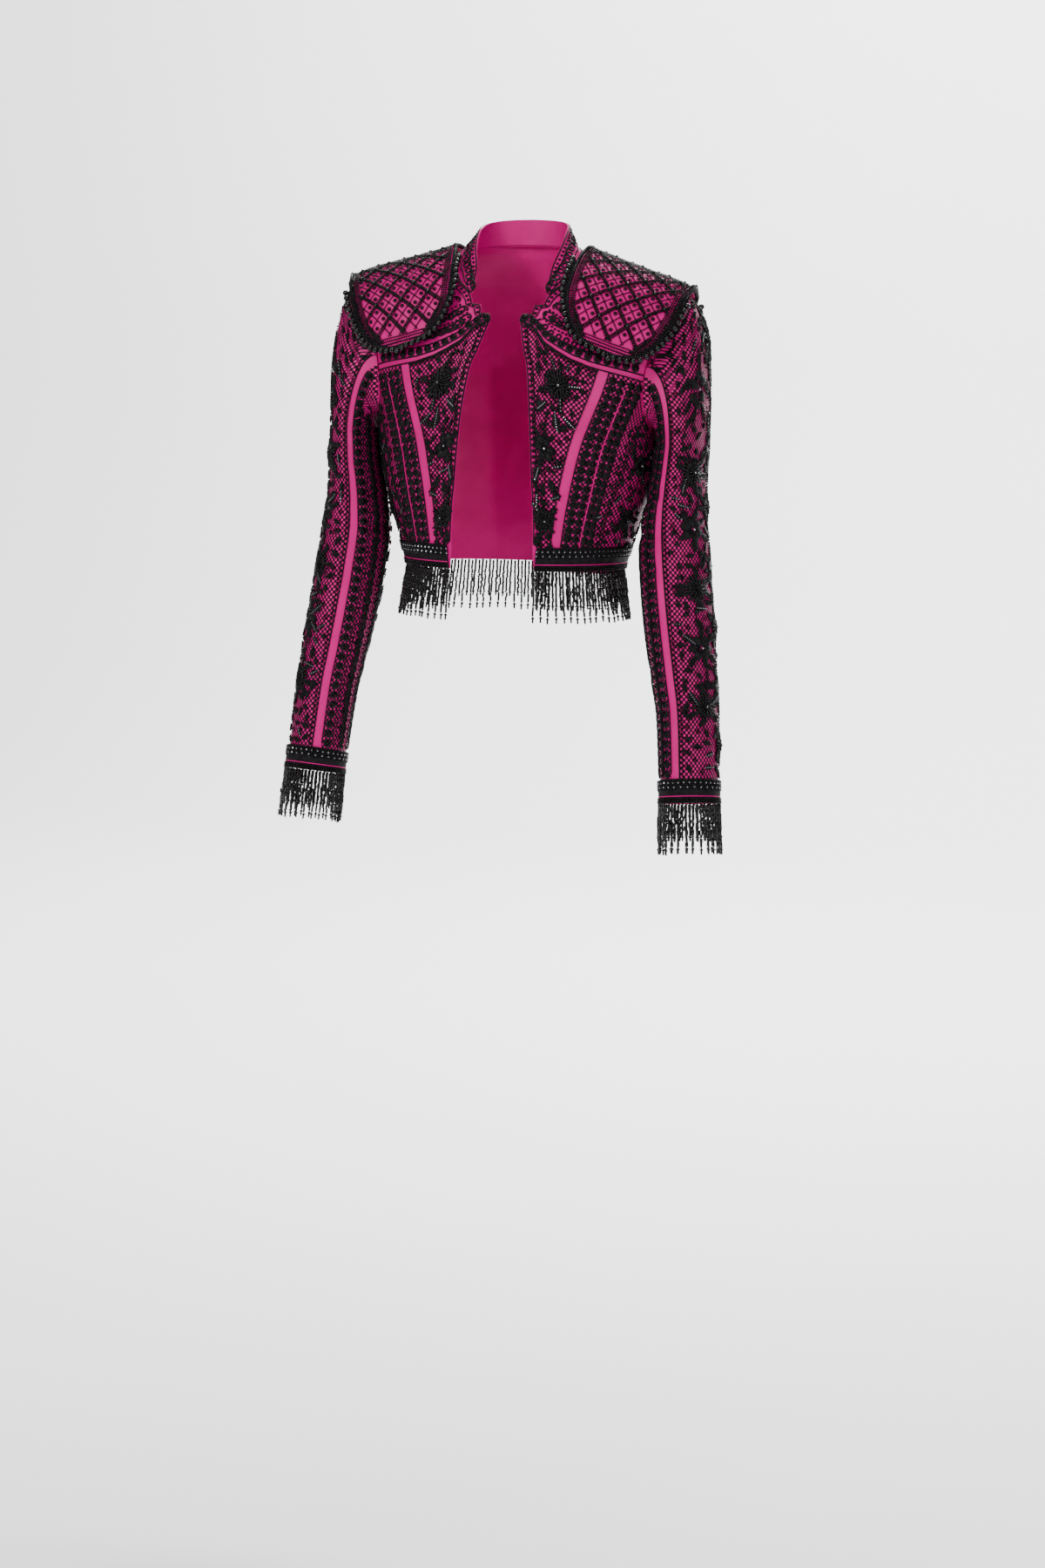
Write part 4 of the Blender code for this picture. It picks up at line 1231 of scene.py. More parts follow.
class Needle:
    """The motifs, each worked on a patch of cloth."""

    LOOP_POINTS, LOOP_LIFT, LOOP_FOLD = 14, 0.9, 0.62
    CORD_PITCH = 2.6

    def __init__(self, kit: Kit, patch: Patch, rng: np.random.Generator) -> None:
        """Take a patch and start its gathering."""
        self.patch, self.rng = patch, rng
        self.work = Work(kit, patch.name, [patch.name])

    def edge(self, edge: str, inset: float, start: float = 0.0, end: float = 1.0, count: int = 160) -> Path:
        """A line that keeps a distance from one edge of the cloth.

        Args:
            edge: left, right, bottom or top.
            inset: The distance.
            start: Where it starts, as a share of the edge.
            end: Where it ends.
            count: How many points it has.

        Returns:
            The line.
        """
        k = np.linspace(start, end, count)
        if edge in ("left", "right"):
            s = inset / self.patch.width(k)
            return (s if edge == "left" else 1 - s), k
        t = np.full_like(k, inset / self.patch.length)
        return k, (t if edge == "bottom" else 1 - t)

    def moved(self, path: Path, across: float = 0.0, along: float = 0.0) -> Path:
        """A path moved across and along by distances."""
        s, t = path
        if across:
            s = s + across / self.patch.width(t)
        return s, (np.clip(t + along / self.patch.length, 0, 1) if along else t)

    def _polar(self, s0: float, t0: float, radius: Array, angle: Array) -> tuple[Array, Array]:
        """Places about a middle."""
        return self.patch.near(s0, t0, radius * np.cos(angle), radius * np.sin(angle))

    def _point_out(self, s0: float, t0: float, radius: Array, angle: Array,
                   size: Sequence[float], lift: float) -> None:
        """Bugles that point away from a middle."""
        a, b = self._polar(s0, t0, radius, angle)
        c, d = self._polar(s0, t0, radius + 1, angle)
        self.work.lay(Kind.BUGLE, self.patch, a, b, size, lift, (c - a, d - b))

    def rays(self, s0: float, t0: float, radius: float, count: int, length: float,
             wide: float, lift: float, turn: float = 0.0) -> None:
        """A circle of bugles that point out from a middle.

        Args:
            s0: The middle, across.
            t0: The middle, along.
            radius: Distance of the bugles' own middles.
            count: How many.
            length: Their length.
            wide: Their thickness.
            lift: Their height over the cloth.
            turn: Angle of the first one.
        """
        angle = turn + np.linspace(0, math.tau, count, endpoint=False) + self.rng.normal(0, 0.04, count)
        self._point_out(s0, t0, np.full(count, radius), angle, (length, wide, wide), lift)

    def mum(self, s: float, t: float, radius: float, glint: bool = True) -> None:
        """Domed flower of many rays, widest below and raised in the middle."""
        turn = self.rng.uniform(0, 1)
        scale = radius / 16
        self.mound(s, t, 0.0, radius * 1.66, radius * 1.66, 3.4)
        self.rays(s, t, radius * 0.78, 22, radius * 0.46, 2.3 * scale, 1.7, turn)
        self.rays(s, t, radius * 0.52, 16, radius * 0.42, 2.0 * scale, 2.3, turn + 0.2)
        self.rays(s, t, radius * 0.30, 10, radius * 0.34, 2.0 * scale, 3.4, turn)
        self.ring(s, t, radius * 0.98, 24, 1.9 * scale, 1.0)
        self.ring(s, t, radius * 0.14, 6, 2.2 * scale, 4.2)
        self.dots(np.array([s]), np.array([t]), 2.6 * scale, 4.9, Kind.CLEAR if glint else Kind.ROUND)

    def mound(self, s: float, t: float, angle: float, length: float, breadth: float,
              height: float) -> None:
        """Stitched mound that fills a motif under its beads."""
        a, b = self.patch.near(s, t, np.array([math.cos(angle)]), np.array([math.sin(angle)]))
        self.work.lay(Kind.MOUND, self.patch, s, t, (length, breadth, height), 0.75, (a - s, b - t))

    def ring(self, s0: float, t0: float, radius: float, count: int, bead: float,
             lift: float) -> None:
        """Circle of round beads."""
        angle = np.linspace(0, math.tau, count, endpoint=False)
        s, t = self._polar(s0, t0, np.full(count, radius), angle)
        self.dots(s, t, bead, lift)

    def dots(self, s: Array, t: Array, bead: float, lift: float, kind: Kind = Kind.ROUND) -> None:
        """Round beads at places."""
        self.work.lay(kind, self.patch, s, t, (bead, bead, bead * 0.85), lift)

    def bloom(self, s: float, t: float, radius: float, petals: int = 6, turn: float = 0.0) -> None:
        """Open flower: each petal a fan of bugles inside a row of beads."""
        for k in range(petals):
            axis = turn + math.tau * k / petals
            spread = math.pi / petals * 0.80
            self.mound(*self.patch.beside(s, t, axis, radius * 0.55), axis, radius * 0.92,
                       radius * 0.74, 3.2)
            fan = axis + np.linspace(-0.6, 0.6, 4) * spread
            reach = radius * (0.62 - 0.10 * np.abs(np.linspace(-1, 1, 4)))
            self._point_out(s, t, reach, fan, (radius * 0.52, 1.7, 1.7), 1.8)
            arc = np.linspace(-1, 1, 8)
            rim = radius * (0.98 - 0.30 * np.abs(arc) ** 2.2)
            a, b = self._polar(s, t, rim, axis + arc * spread)
            self.dots(a, b, 2.0, 1.2)
        self.ring(s, t, radius * 0.24, 7, 2.2, 2.3)
        self.dots(np.array([s]), np.array([t]), 3.2, 3.0, Kind.CLEAR)

    def leaf(self, s: float, t: float, angle: float, length: float, glint: bool = False) -> None:
        """Leaf of slanted bugles either side of a midrib, rimmed at the tip by a bead."""
        count = max(4, int(length / 2.6))
        k = np.linspace(0.06, 0.94, count)
        breadth = length * 0.30 * np.sin(np.pi * k) ** 0.7
        ca, sa = math.cos(angle), math.sin(angle)
        self.mound(*self.patch.beside(s, t, angle, length / 2), angle, length * 1.02, length * 0.46, 2.6)
        for way in (-1, 1):
            slant = angle + way * 0.75
            u = k * length * ca - way * breadth * 0.5 * sa
            v = k * length * sa + way * breadth * 0.5 * ca
            a, b = self.patch.near(s, t, u, v)
            c, d = self.patch.near(s, t, u + math.cos(slant), v + math.sin(slant))
            size = np.stack([breadth * 1.25 + 1.2, np.full(count, 1.6), np.full(count, 1.7)], -1)
            self.work.lay(Kind.BUGLE, self.patch, a, b, size, 1.5, (c - a, d - b))
        rib = np.linspace(-0.05, 1.05, max(4, int(length / 2.2)))
        a, b = self.patch.near(s, t, rib * length * ca, rib * length * sa)
        self.dots(a, b, 1.9, 2.2, Kind.CLEAR if glint else Kind.ROUND)

    def bud(self, s: float, t: float, angle: float, size: float) -> None:
        """Bud of three bugles with a bead at its foot and one at its tip."""
        turns = angle + np.array([-0.45, 0.0, 0.45])
        self.mound(*self.patch.beside(s, t, angle, size / 2), angle, size * 1.1, size * 0.8, 2.6)
        self._point_out(s, t, np.full(3, size * 0.5), turns, (size * 0.8, 1.9, 1.9), 1.8)
        a, b = self._polar(s, t, np.array([0.0, size * 1.05]), np.array([angle, angle]))
        self.dots(a, b, 2.6, 2.0)

    def spray(self, s: float, t: float, radius: float, count: int, length: float) -> None:
        """Leaves that grow out from under a flower's rim."""
        for angle in self.rng.uniform(0, math.tau) + np.linspace(0, math.tau, count, endpoint=False):
            angle += self.rng.normal(0, 0.22)
            self.leaf(*self.patch.beside(s, t, angle, radius * 0.86), angle + self.rng.normal(0, 0.3),
                      length * self.rng.uniform(0.8, 1.15), glint=self.rng.uniform() < 0.12)

    def stem(self, spots: Sequence[tuple[float, float]], bead: float = 1.9) -> None:
        """Curved row of beads through a few places."""
        spots_ = np.asarray(spots, float)
        k, dense = np.arange(len(spots_)), np.linspace(0, len(spots_) - 1, 60)
        rows = [Table({"k": tuple(k), "p": tuple(spots_[:, i])}, "k").read("p", dense) for i in (0, 1)]
        s, t, ds, dt = run_of(self.patch, rows[0], rows[1], bead * 1.04)
        self.work.lay(Kind.ROUND, self.patch, s, t, (bead, bead, bead), 1.0, (ds, dt))

    def row(self, path: Path, kind: Kind, pitch: float, size: Sequence[float],
            lift: float) -> None:
        """Evenly pitched row along a path."""
        s, t, ds, dt = run_of(self.patch, path[0], path[1], pitch)
        self.work.lay(kind, self.patch, s, t, size, lift, (ds, dt))

    def discs(self, path: Path, pitch: float, size: Sequence[float]) -> None:
        """Evenly pitched soutache rings, each with a bead in its eye."""
        self.row(path, Kind.RING, pitch, size, 1.2)
        self.row(path, Kind.ROUND, pitch, (4.8, 4.8, 3.4), 1.4)

    def piping(self, path: Path, radius: float, lift: float,
               finish: str = "soutache") -> None:
        """Cord along a path."""
        s, t, _, _ = run_of(self.patch, path[0], path[1], self.CORD_PITCH)
        self.work.cord(finish, radius, self.patch.at(s, t, lift)[0])

    def loops(self, path: Path, pitch: float, reach: float, radius: float = 1.15) -> None:
        """Soutache that curls back on itself once a pitch.

        Args:
            path: The line it keeps to.
            pitch: Distance from loop to loop.
            reach: Breadth of a loop, negative for loops on the other side.
            radius: The cord's radius.
        """
        s, t, _, _ = run_of(self.patch, path[0], path[1], pitch / self.LOOP_POINTS)
        points, normal = self.patch.at(s, t, self.LOOP_LIFT)
        ahead = unit(np.gradient(points, axis=0))
        side = np.cross(normal, ahead)
        phase = math.tau * np.arange(len(s)) / self.LOOP_POINTS
        points = (points - ahead * (abs(reach) * self.LOOP_FOLD * np.sin(phase))[:, None]
                  + side * (reach * 0.5 * (1 - np.cos(phase)))[:, None])
        self.work.cord("soutache", radius, points)

    def fill(self, s_range: tuple[float, float], t_range: tuple[float, float],
             taken: list[tuple[float, float, float]], spacing: float, size: tuple[float, float]) -> None:
        """Leaves and buds in what the larger motifs leave free.

        Args:
            s_range: Least and greatest s.
            t_range: Least and greatest t.
            taken: (s, t, radius) of what lies there already; filled places are added.
            spacing: Distance kept between small motifs.
            size: Least and greatest length of one.
        """
        tries = int(self.patch.length * float(self.patch.width(0.5)) / spacing ** 2 * 14)
        for _ in range(tries):
            s, t = self.rng.uniform(*s_range), self.rng.uniform(*t_range)
            wide = float(self.patch.width(t))
            held = np.array(taken).reshape(-1, 3)
            away = np.hypot((s - held[:, 0]) * wide, (t - held[:, 1]) * self.patch.length)
            if np.any(away < held[:, 2] + spacing * 0.5):
                continue
            taken.append((s, t, spacing * 0.5))
            angle, pick = self.rng.uniform(0, math.tau), self.rng.uniform()
            length = self.rng.uniform(*size)
            if pick < 0.5:
                self.leaf(*self.patch.beside(s, t, angle, -length / 2), angle, length, glint=pick < 0.08)
            elif pick < 0.8:
                self.bud(s, t, angle, length * 0.62)
            else:
                self.ring(s, t, length * 0.26, 7, 1.9, 1.1)
                self.dots(np.array([s]), np.array([t]), 2.6, 1.6)


# ---------------------------------------------------------------- cloth

@dataclass(frozen=True)
class Crease:
    """A soft trough across a patch: place, direction in degrees, length, half width and depth."""

    s: float
    t: float
    angle: float
    length: float
    width: float
    depth: float


CREASES: dict[str, tuple[Crease, ...]] = {
    "sleeve_upper": (Crease(0.10, 0.66, 28, 46, 7, 1.9), Crease(0.06, 0.60, 14, 38, 6, 1.7),
                     Crease(0.08, 0.53, -10, 44, 7, 1.5), Crease(0.90, 0.58, -16, 52, 8, 1.6),
                     Crease(0.86, 0.50, 10, 40, 7, 1.3), Crease(0.30, 0.93, 62, 50, 8, 1.4),
                     Crease(0.72, 0.92, 118, 46, 8, 1.3), Crease(0.48, 0.30, 6, 48, 9, -1.0),
                     Crease(0.22, 0.16, -20, 36, 7, 1.1)),
    "sleeve_under": (Crease(0.72, 0.63, 12, 52, 6, 2.3), Crease(0.66, 0.56, -6, 58, 7, 2.4),
                     Crease(0.78, 0.50, 8, 44, 6, 1.8), Crease(0.34, 0.60, -12, 40, 8, 1.4),
                     Crease(0.55, 0.86, 74, 42, 7, 1.5), Crease(0.44, 0.28, 10, 44, 8, 1.2)),
    "front": (Crease(0.62, 0.50, 66, 70, 8, 1.0), Crease(0.30, 0.22, 100, 56, 8, 0.8)),
    "side_front": (Crease(0.5, 0.62, 76, 60, 7, 1.2),),
    "side": (Crease(0.4, 0.72, 30, 44, 7, 1.7), Crease(0.6, 0.52, 16, 38, 7, 1.3)),
    "side_back": (Crease(0.30, 0.76, 150, 50, 8, 1.8), Crease(0.45, 0.60, 164, 52, 8, 1.4),
                  Crease(0.6, 0.3, 172, 40, 8, 0.9)),
    "yoke": (Crease(0.78, 0.30, 58, 40, 7, 0.9),),
    "back": (Crease(0.24, 0.50, 70, 64, 9, 1.2), Crease(0.74, 0.46, 112, 60, 9, 1.3),
             Crease(0.5, 0.18, 4, 70, 9, 0.9)),
    "back_yoke": (Crease(0.20, 0.42, 40, 46, 8, 1.1), Crease(0.81, 0.40, 140, 44, 8, 1.0)),
    "collar": (Crease(0.13, 0.5, 80, 20, 5, 0.5), Crease(0.86, 0.5, 96, 20, 5, 0.5)),
}


SHARP_EDGE = math.radians(55)
BAND_CLEAR = 30.0
COVERED = (-1.0, -1.0)
STRIPE = 10.6
BARE = {"side_front": (10.4, -1.0), "front": (6.0, -1.0), "sleeve_under": (-1.0, STRIPE)}


class Cloth:
    """Thin shells of satin, one for each panel of the cut."""

    THICK = 1.9

    def __init__(self, kit: Kit) -> None:
        self.kit = kit

    def crease(self, patch: Patch, name: str, way: int) -> None:
        """Press a panel's creases, a little differently on each side."""
        for k, fold in enumerate(CREASES.get(name, ())):
            sway = 1 + 0.14 * way * math.sin(2.3 * k + 1)
            patch.press(fold.s + 0.012 * way, fold.t + 0.014 * way * math.cos(k), fold.angle,
                        fold.length * sway, fold.width, fold.depth * sway)

    def shell(self, patch: Patch, net: bool, node: str, bare: tuple[float, float] = COVERED) -> None:
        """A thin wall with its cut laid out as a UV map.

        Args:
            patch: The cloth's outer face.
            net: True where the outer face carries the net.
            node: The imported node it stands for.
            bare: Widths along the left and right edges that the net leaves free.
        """
        mesh, outer = patch.wall(self.THICK)
        s, t = patch.plan()
        wide = patch.width(t)
        plan = self._round_arm if patch.name.startswith("sleeve") else self._laid_out
        patch.unwrap(mesh, "Cut", plan(patch))
        patch.unwrap(mesh, "Bare", np.stack([s * wide - bare[0], (1 - s) * wide - bare[1]], -1))
        mesh.materials.append(self.kit.finishes.ground if net else self.kit.finishes.satin)
        mesh.materials.append(self.kit.finishes.satin)
        inner = np.arange(len(mesh.polygons)) >= outer
        mesh.polygons.foreach_set("material_index", inner.astype(int))
        mesh.shade_smooth()
        mesh.set_sharp_from_angle(angle=SHARP_EDGE)
        obj = linked(f"cloth_{patch.name}", mesh)
        hand_in(obj, "satin", [node])
        self._declare(obj, patch)

    @staticmethod
    def _laid_out(patch: Patch) -> Array:
        """Plan of a panel for its net: lengths across from the middle column, and along."""
        across = np.linalg.norm(np.diff(patch.points, axis=1), axis=-1)
        along = np.linalg.norm(np.diff(patch.points, axis=0), axis=-1)
        u = np.pad(np.cumsum(across, axis=1), ((0, 0), (1, 0)))
        v = np.pad(np.cumsum(along, axis=0), ((1, 0), (0, 0)))
        return np.stack([u - u[:, u.shape[1] // 2][:, None], v], -1)

    @staticmethod
    def _round_arm(patch: Patch) -> Array:
        """Plan of a sleeve for its net: the way round the arm against the height."""
        out, deep = np.abs(patch.points[..., 0]), patch.points[..., 1]
        far = out.argmax(1) if "upper" in patch.name else out.argmin(1)
        rows = np.arange(len(far))
        off = deep - deep[rows, far][:, None]
        laid = off + np.sign(off) * np.abs(out - out[rows, far][:, None])
        return np.stack([laid, patch.points[..., 2]], -1)

    @staticmethod
    def _declare(obj: bpy.types.Object, patch: Patch) -> None:
        """Work out the greatest breadth of the cut; nothing is done with it."""
        wide = float(patch.width(np.linspace(0, 1, 40)).max()) * MM


# ---------------------------------------------------------------- the jacket's parts

def yoke_foot(needle: Needle, discs: tuple[float, float], cord: tuple[float, float]) -> None:
    """A bare stripe between cords over the yoke's seam, then a row of discs and a cord.

    Args:
        needle: What works it.
        discs: Start and end of the row of discs.
        cord: Start and end of the cord over it.
    """
    for inset in (0.9, 8.2):
        needle.piping(needle.edge("bottom", inset), 0.9, 0.7)
    needle.discs(needle.edge("bottom", 14.2, *discs), 11.6, (10.6, 10.6, 8.0))
    needle.piping(needle.edge("bottom", 20.2, *cord), 0.8, 0.7)


def yoke_rows(needle: Needle, count: int, ends: tuple[float, float]) -> None:
    """Rows of soutache loops over the discs, turned one way and the other, with a row of beads in each.

    Args:
        needle: What works it.
        count: How many rows.
        ends: Start and end of a row.
    """
    for k in range(count):
        path = needle.edge("bottom", 27.0 + 10.5 * k, *ends)
        needle.loops(path, 10.4, 8.4 if k % 2 else -8.4)
        needle.row(needle.moved(path, along=4.4), Kind.ROUND, 5.2, (3.2, 3.2, 2.4), 1.2)


class BodyFront:
    """Front panels, yoke and side panels of one side, with their embroidery."""

    SHORT = 8
    # centre front: s, t and radius of the flowers, and whether they are domed
    FLOWERS = ((0.60, 0.855, 19.5, True), (0.50, 0.555, 17.0, False), (0.62, 0.235, 16.5, True))
    # s, t, angle and length of its leaves, and which of them have clear beads
    LEAVES = ((0.42, 0.745, -2.2, 19), (0.62, 0.735, -1.2, 20), (0.78, 0.735, -0.5, 16),
              (0.36, 0.70, 2.6, 14), (0.74, 0.665, 0.9, 15), (0.30, 0.44, -1.9, 17),
              (0.70, 0.44, -1.1, 18), (0.52, 0.40, -1.57, 15), (0.80, 0.35, 0.6, 15),
              (0.34, 0.34, 2.3, 14), (0.34, 0.155, -2.0, 13), (0.80, 0.14, -0.9, 13))
    GLINTS = (0, 1, 2, 5, 8)

    def __init__(self, kit: Kit, cloth: Cloth, side: Side) -> None:
        """Cut and crease the panels."""
        self.kit, self.side = kit, side
        self.patches = kit.tailor.panels(side)
        for name, patch in self.patches.items():
            cloth.crease(patch, name, side.value)
            cloth.shell(patch, name != "yoke", patch.name, BARE.get(name, COVERED))
        self.rng = np.random.default_rng(SEED + (1 if side is Side.LEFT else 2))

    def _work(self, panel: str) -> tuple[Needle, Patch]:
        """A needle for one panel."""
        patch = self.patches[panel]
        return Needle(self.kit, patch, self.rng), patch

    def build(self) -> None:
        """Work every panel."""
        self._front()
        self._side_front()
        self._sides()
        self._yoke()

    def _front(self) -> None:
        """Centre front: flowers down the net, dots along the edge, a plain stripe at the seam."""
        needle, patch = self._work("front")
        low = BAND_CLEAR / patch.length
        needle.piping(needle.edge("left", 1.6, low), 1.0, 0.7)
        needle.row(needle.edge("left", 6.2, low), Kind.ROUND, 7.2, (4.6, 4.6, 3.2), 1.2)
        needle.piping(needle.edge("left", 10.6, low), 0.9, 0.7)
        needle.piping(needle.edge("right", 1.2, low), 0.9, 0.6)
        needle.piping(needle.edge("top", 1.6), 1.0, 0.8)
        needle.row(needle.edge("top", 4.2), Kind.ROUND, 2.5, (2.1, 2.1, 2.0), 1.2)
        taken = [(s, t, radius) for s, t, radius, _ in self.FLOWERS]
        for s, t, radius, domed in self.FLOWERS:
            if domed:
                needle.mum(s, t, radius)
            else:
                needle.bloom(s, t, radius, 6, 0.3)
            needle.spray(s, t, radius, 4, 12.0)
        for k, (s, t, angle, length) in enumerate(self.LEAVES):
            needle.leaf(s, t, angle, length, glint=k in self.GLINTS)
            taken.append((*patch.beside(s, t, angle, length / 2), 6.5))
        needle.stem([(0.60, 0.79), (0.50, 0.70), (0.44, 0.62), (0.50, 0.56)])
        needle.stem([(0.50, 0.50), (0.58, 0.42), (0.50, 0.33), (0.60, 0.26)])
        needle.stem([(0.62, 0.19), (0.5, 0.13), (0.58, 0.09)])
        needle.fill((0.24, 0.95), (low + 0.02, 0.965), taken, 9.5, (7.5, 12))
        needle.work.make()

    @staticmethod
    def _clear_of_seam(patch: Patch, path: Path, gap: float) -> Path:
        """What of a path lies further than a gap from the right seam."""
        keep = path[0] < 1 - gap / patch.width(path[1])
        return path[0][keep], path[1][keep]

    def _side_front(self) -> None:
        """Band beside the stripe: two columns of paired loops split by a bare line."""
        needle, patch = self._work("side_front")
        low = BAND_CLEAR / patch.length
        needle.piping(needle.edge("left", 10.4, low), 0.9, 0.7)
        needle.piping(needle.edge("right", 2.0, low), 0.9, 0.7)
        for inset in (16.4, 26.4, 38.0, 48.0):
            line = self._clear_of_seam(patch, needle.edge("left", inset, low, 0.965), 6.0)
            if len(line[0]) > self.SHORT:
                needle.row(line, Kind.RING, 10.4, (10.4, 10.4, 7.5), 1.0)
                needle.row(line, Kind.ROUND, 10.4, (4.6, 4.6, 3.2), 1.2)
        for inset, reach in ((21.4, 7.0), (43.0, -7.0)):
            line = self._clear_of_seam(patch, needle.edge("left", inset, low, 0.95), 8.0)
            if len(line[0]) > self.SHORT:
                needle.loops(line, 10.4, reach, 0.9)
        needle.piping(needle.edge("left", 32.2, low, 0.93), 0.8, 0.8, "satin")
        taken: list[tuple[float, float, float]] = []
        needle.fill((0.80, 0.96), (low + 0.02, 0.90), taken, 9.5, (7, 9))
        needle.work.make()

    def _sides(self) -> None:
        """Side and side back: net, a few flowers and small leaves."""
        for panel, flowers in (("side", [(0.5, 0.72, 15.0), (0.48, 0.36, 14.0)]),
                               ("side_back", [(0.42, 0.78, 16.0), (0.52, 0.50, 15.0), (0.45, 0.24, 14.5)])):
            needle, patch = self._work(panel)
            low = BAND_CLEAR / patch.length
            taken = []
            for k, (s, t, radius) in enumerate(flowers):
                (needle.mum if k % 2 else needle.bloom)(s, t, radius)
                needle.spray(s, t, radius, 5, 13.0)
                taken.append((s, t, radius * 1.2))
            spots = [(s, t) for s, t, _ in flowers]
            needle.stem([(0.46, 0.93)] + spots + [(0.5, low + 0.03)])
            needle.fill((0.08, 0.92), (low + 0.02, 0.96), taken, 11.5, (8, 13))
            needle.piping(needle.edge("right" if panel == "side_back" else "left", 2.0, low), 0.9, 0.7)
            needle.work.make()

    def _yoke(self) -> None:
        """Yoke: discs above a plain stripe, scrolls above them, dots along the steps."""
        needle, _ = self._work("yoke")
        yoke_foot(needle, (0.03, 0.93), (0.03, 0.95))
        needle.piping(needle.edge("left", 1.6), 0.9, 0.8)
        needle.row(needle.edge("left", 5.4, 0.02, 0.99), Kind.ROUND, 6.6, (4.2, 4.2, 3.0), 1.2)
        needle.piping(needle.edge("left", 9.6, 0.06, 0.98), 0.8, 0.8)
        yoke_rows(needle, 5, (0.13, 0.93))
        needle.work.make()


class BodyBack:
    """Back and back yoke, with their embroidery."""

    # s, t and radius of the back's flowers, and whether they are domed
    FLOWERS = ((0.5, 0.80, 21.0, True), (0.36, 0.62, 16.5, False), (0.64, 0.63, 16.5, False),
               (0.5, 0.46, 19.0, True), (0.24, 0.82, 17.0, True), (0.77, 0.81, 17.0, True),
               (0.36, 0.29, 15.5, False), (0.65, 0.28, 15.5, False), (0.22, 0.45, 15.0, True),
               (0.79, 0.46, 15.0, True), (0.5, 0.19, 15.0, True))
    STEMS = (((0.04, 0.76), (0.12, 0.68), (0.15, 0.56), (0.08, 0.49), (0.03, 0.45)),
             ((0.04, 0.42), (0.13, 0.36), (0.16, 0.24), (0.10, 0.15)))

    def __init__(self, kit: Kit, cloth: Cloth) -> None:
        """Cut and crease the panels."""
        self.kit = kit
        self.patches = kit.tailor.backs()
        for name, patch in self.patches.items():
            cloth.crease(patch, name, 1)
            cloth.shell(patch, name == "back", name)
        self.rng = np.random.default_rng(SEED + 3)

    def build(self) -> None:
        """Work both."""
        self._back()
        self._yoke()

    def _back(self) -> None:
        """Back: a spray of flowers either side of the centre."""
        patch = self.patches["back"]
        needle = Needle(self.kit, patch, self.rng)
        low = BAND_CLEAR / patch.length
        for edge in ("left", "right"):
            needle.piping(needle.edge(edge, 1.4, low), 0.9, 0.7)
            needle.row(needle.edge(edge, 8.5, low, 0.98), Kind.RING, 10.6, (9.4, 9.4, 7), 1.0)
            needle.piping(needle.edge(edge, 15.0, low, 0.98), 0.9, 0.7)
        needle.piping(needle.edge("top", 1.6), 0.9, 0.8)
        taken = []
        for s, t, radius, domed in self.FLOWERS:
            (needle.mum if domed else needle.bloom)(s, t, radius)
            needle.spray(s, t, radius, 5, 13.5)
            taken.append((s, t, radius * 1.2))
        for way in (-1, 1):
            for spots in self.STEMS:
                needle.stem([(0.5 + way * a, b) for a, b in spots])
        needle.fill((0.09, 0.91), (low + 0.02, 0.97), taken, 11.0, (8, 13))
        needle.work.make()

    def _yoke(self) -> None:
        """Back yoke: discs over the seam and rows of soutache."""
        needle = Needle(self.kit, self.patches["back_yoke"], self.rng)
        yoke_foot(needle, (0.04, 0.96), (0.04, 0.96))
        yoke_rows(needle, 6, (0.06, 0.94))
        needle.work.make()


class Collar:
    """Stand collar with piping, dots and a middle row of soutache."""

    def __init__(self, kit: Kit, cloth: Cloth) -> None:
        """Cut and crease it."""
        self.kit = kit
        self.patch = kit.tailor.collar()
        cloth.crease(self.patch, "collar", 1)
        cloth.shell(self.patch, False, "collar")

    def build(self) -> None:
        """Work it."""
        needle = Needle(self.kit, self.patch, np.random.default_rng(SEED + 4))
        needle.piping(needle.edge("top", 1.0, count=400), 0.9, 0.7)
        needle.row(needle.edge("top", 4.6, count=400), Kind.ROUND, 6.2, (3.8, 3.8, 3.0), 1.2)
        needle.piping(needle.edge("top", 8.2, 0.01, 0.99, 400), 0.8, 0.7)
        needle.piping(needle.edge("bottom", 1.0, count=400), 0.9, 0.7)
        needle.piping(needle.edge("bottom", 8.2, 0.01, 0.99, 400), 0.8, 0.7)
        middle = needle.edge("bottom", 11.5, 0.02, 0.98, 400)
        needle.loops(middle, 9.6, 9.0)
        needle.row(needle.moved(middle, along=7.5), Kind.ROUND, 4.8, (2.4, 2.4, 2.0), 1.2)
        for edge in ("left", "right"):
            needle.piping(needle.edge(edge, 1.0), 0.9, 0.7)
            needle.row(needle.edge(edge, 4.4, 0.1, 0.9), Kind.ROUND, 5.5, (3.4, 3.4, 2.8), 1.2)
        needle.work.make()


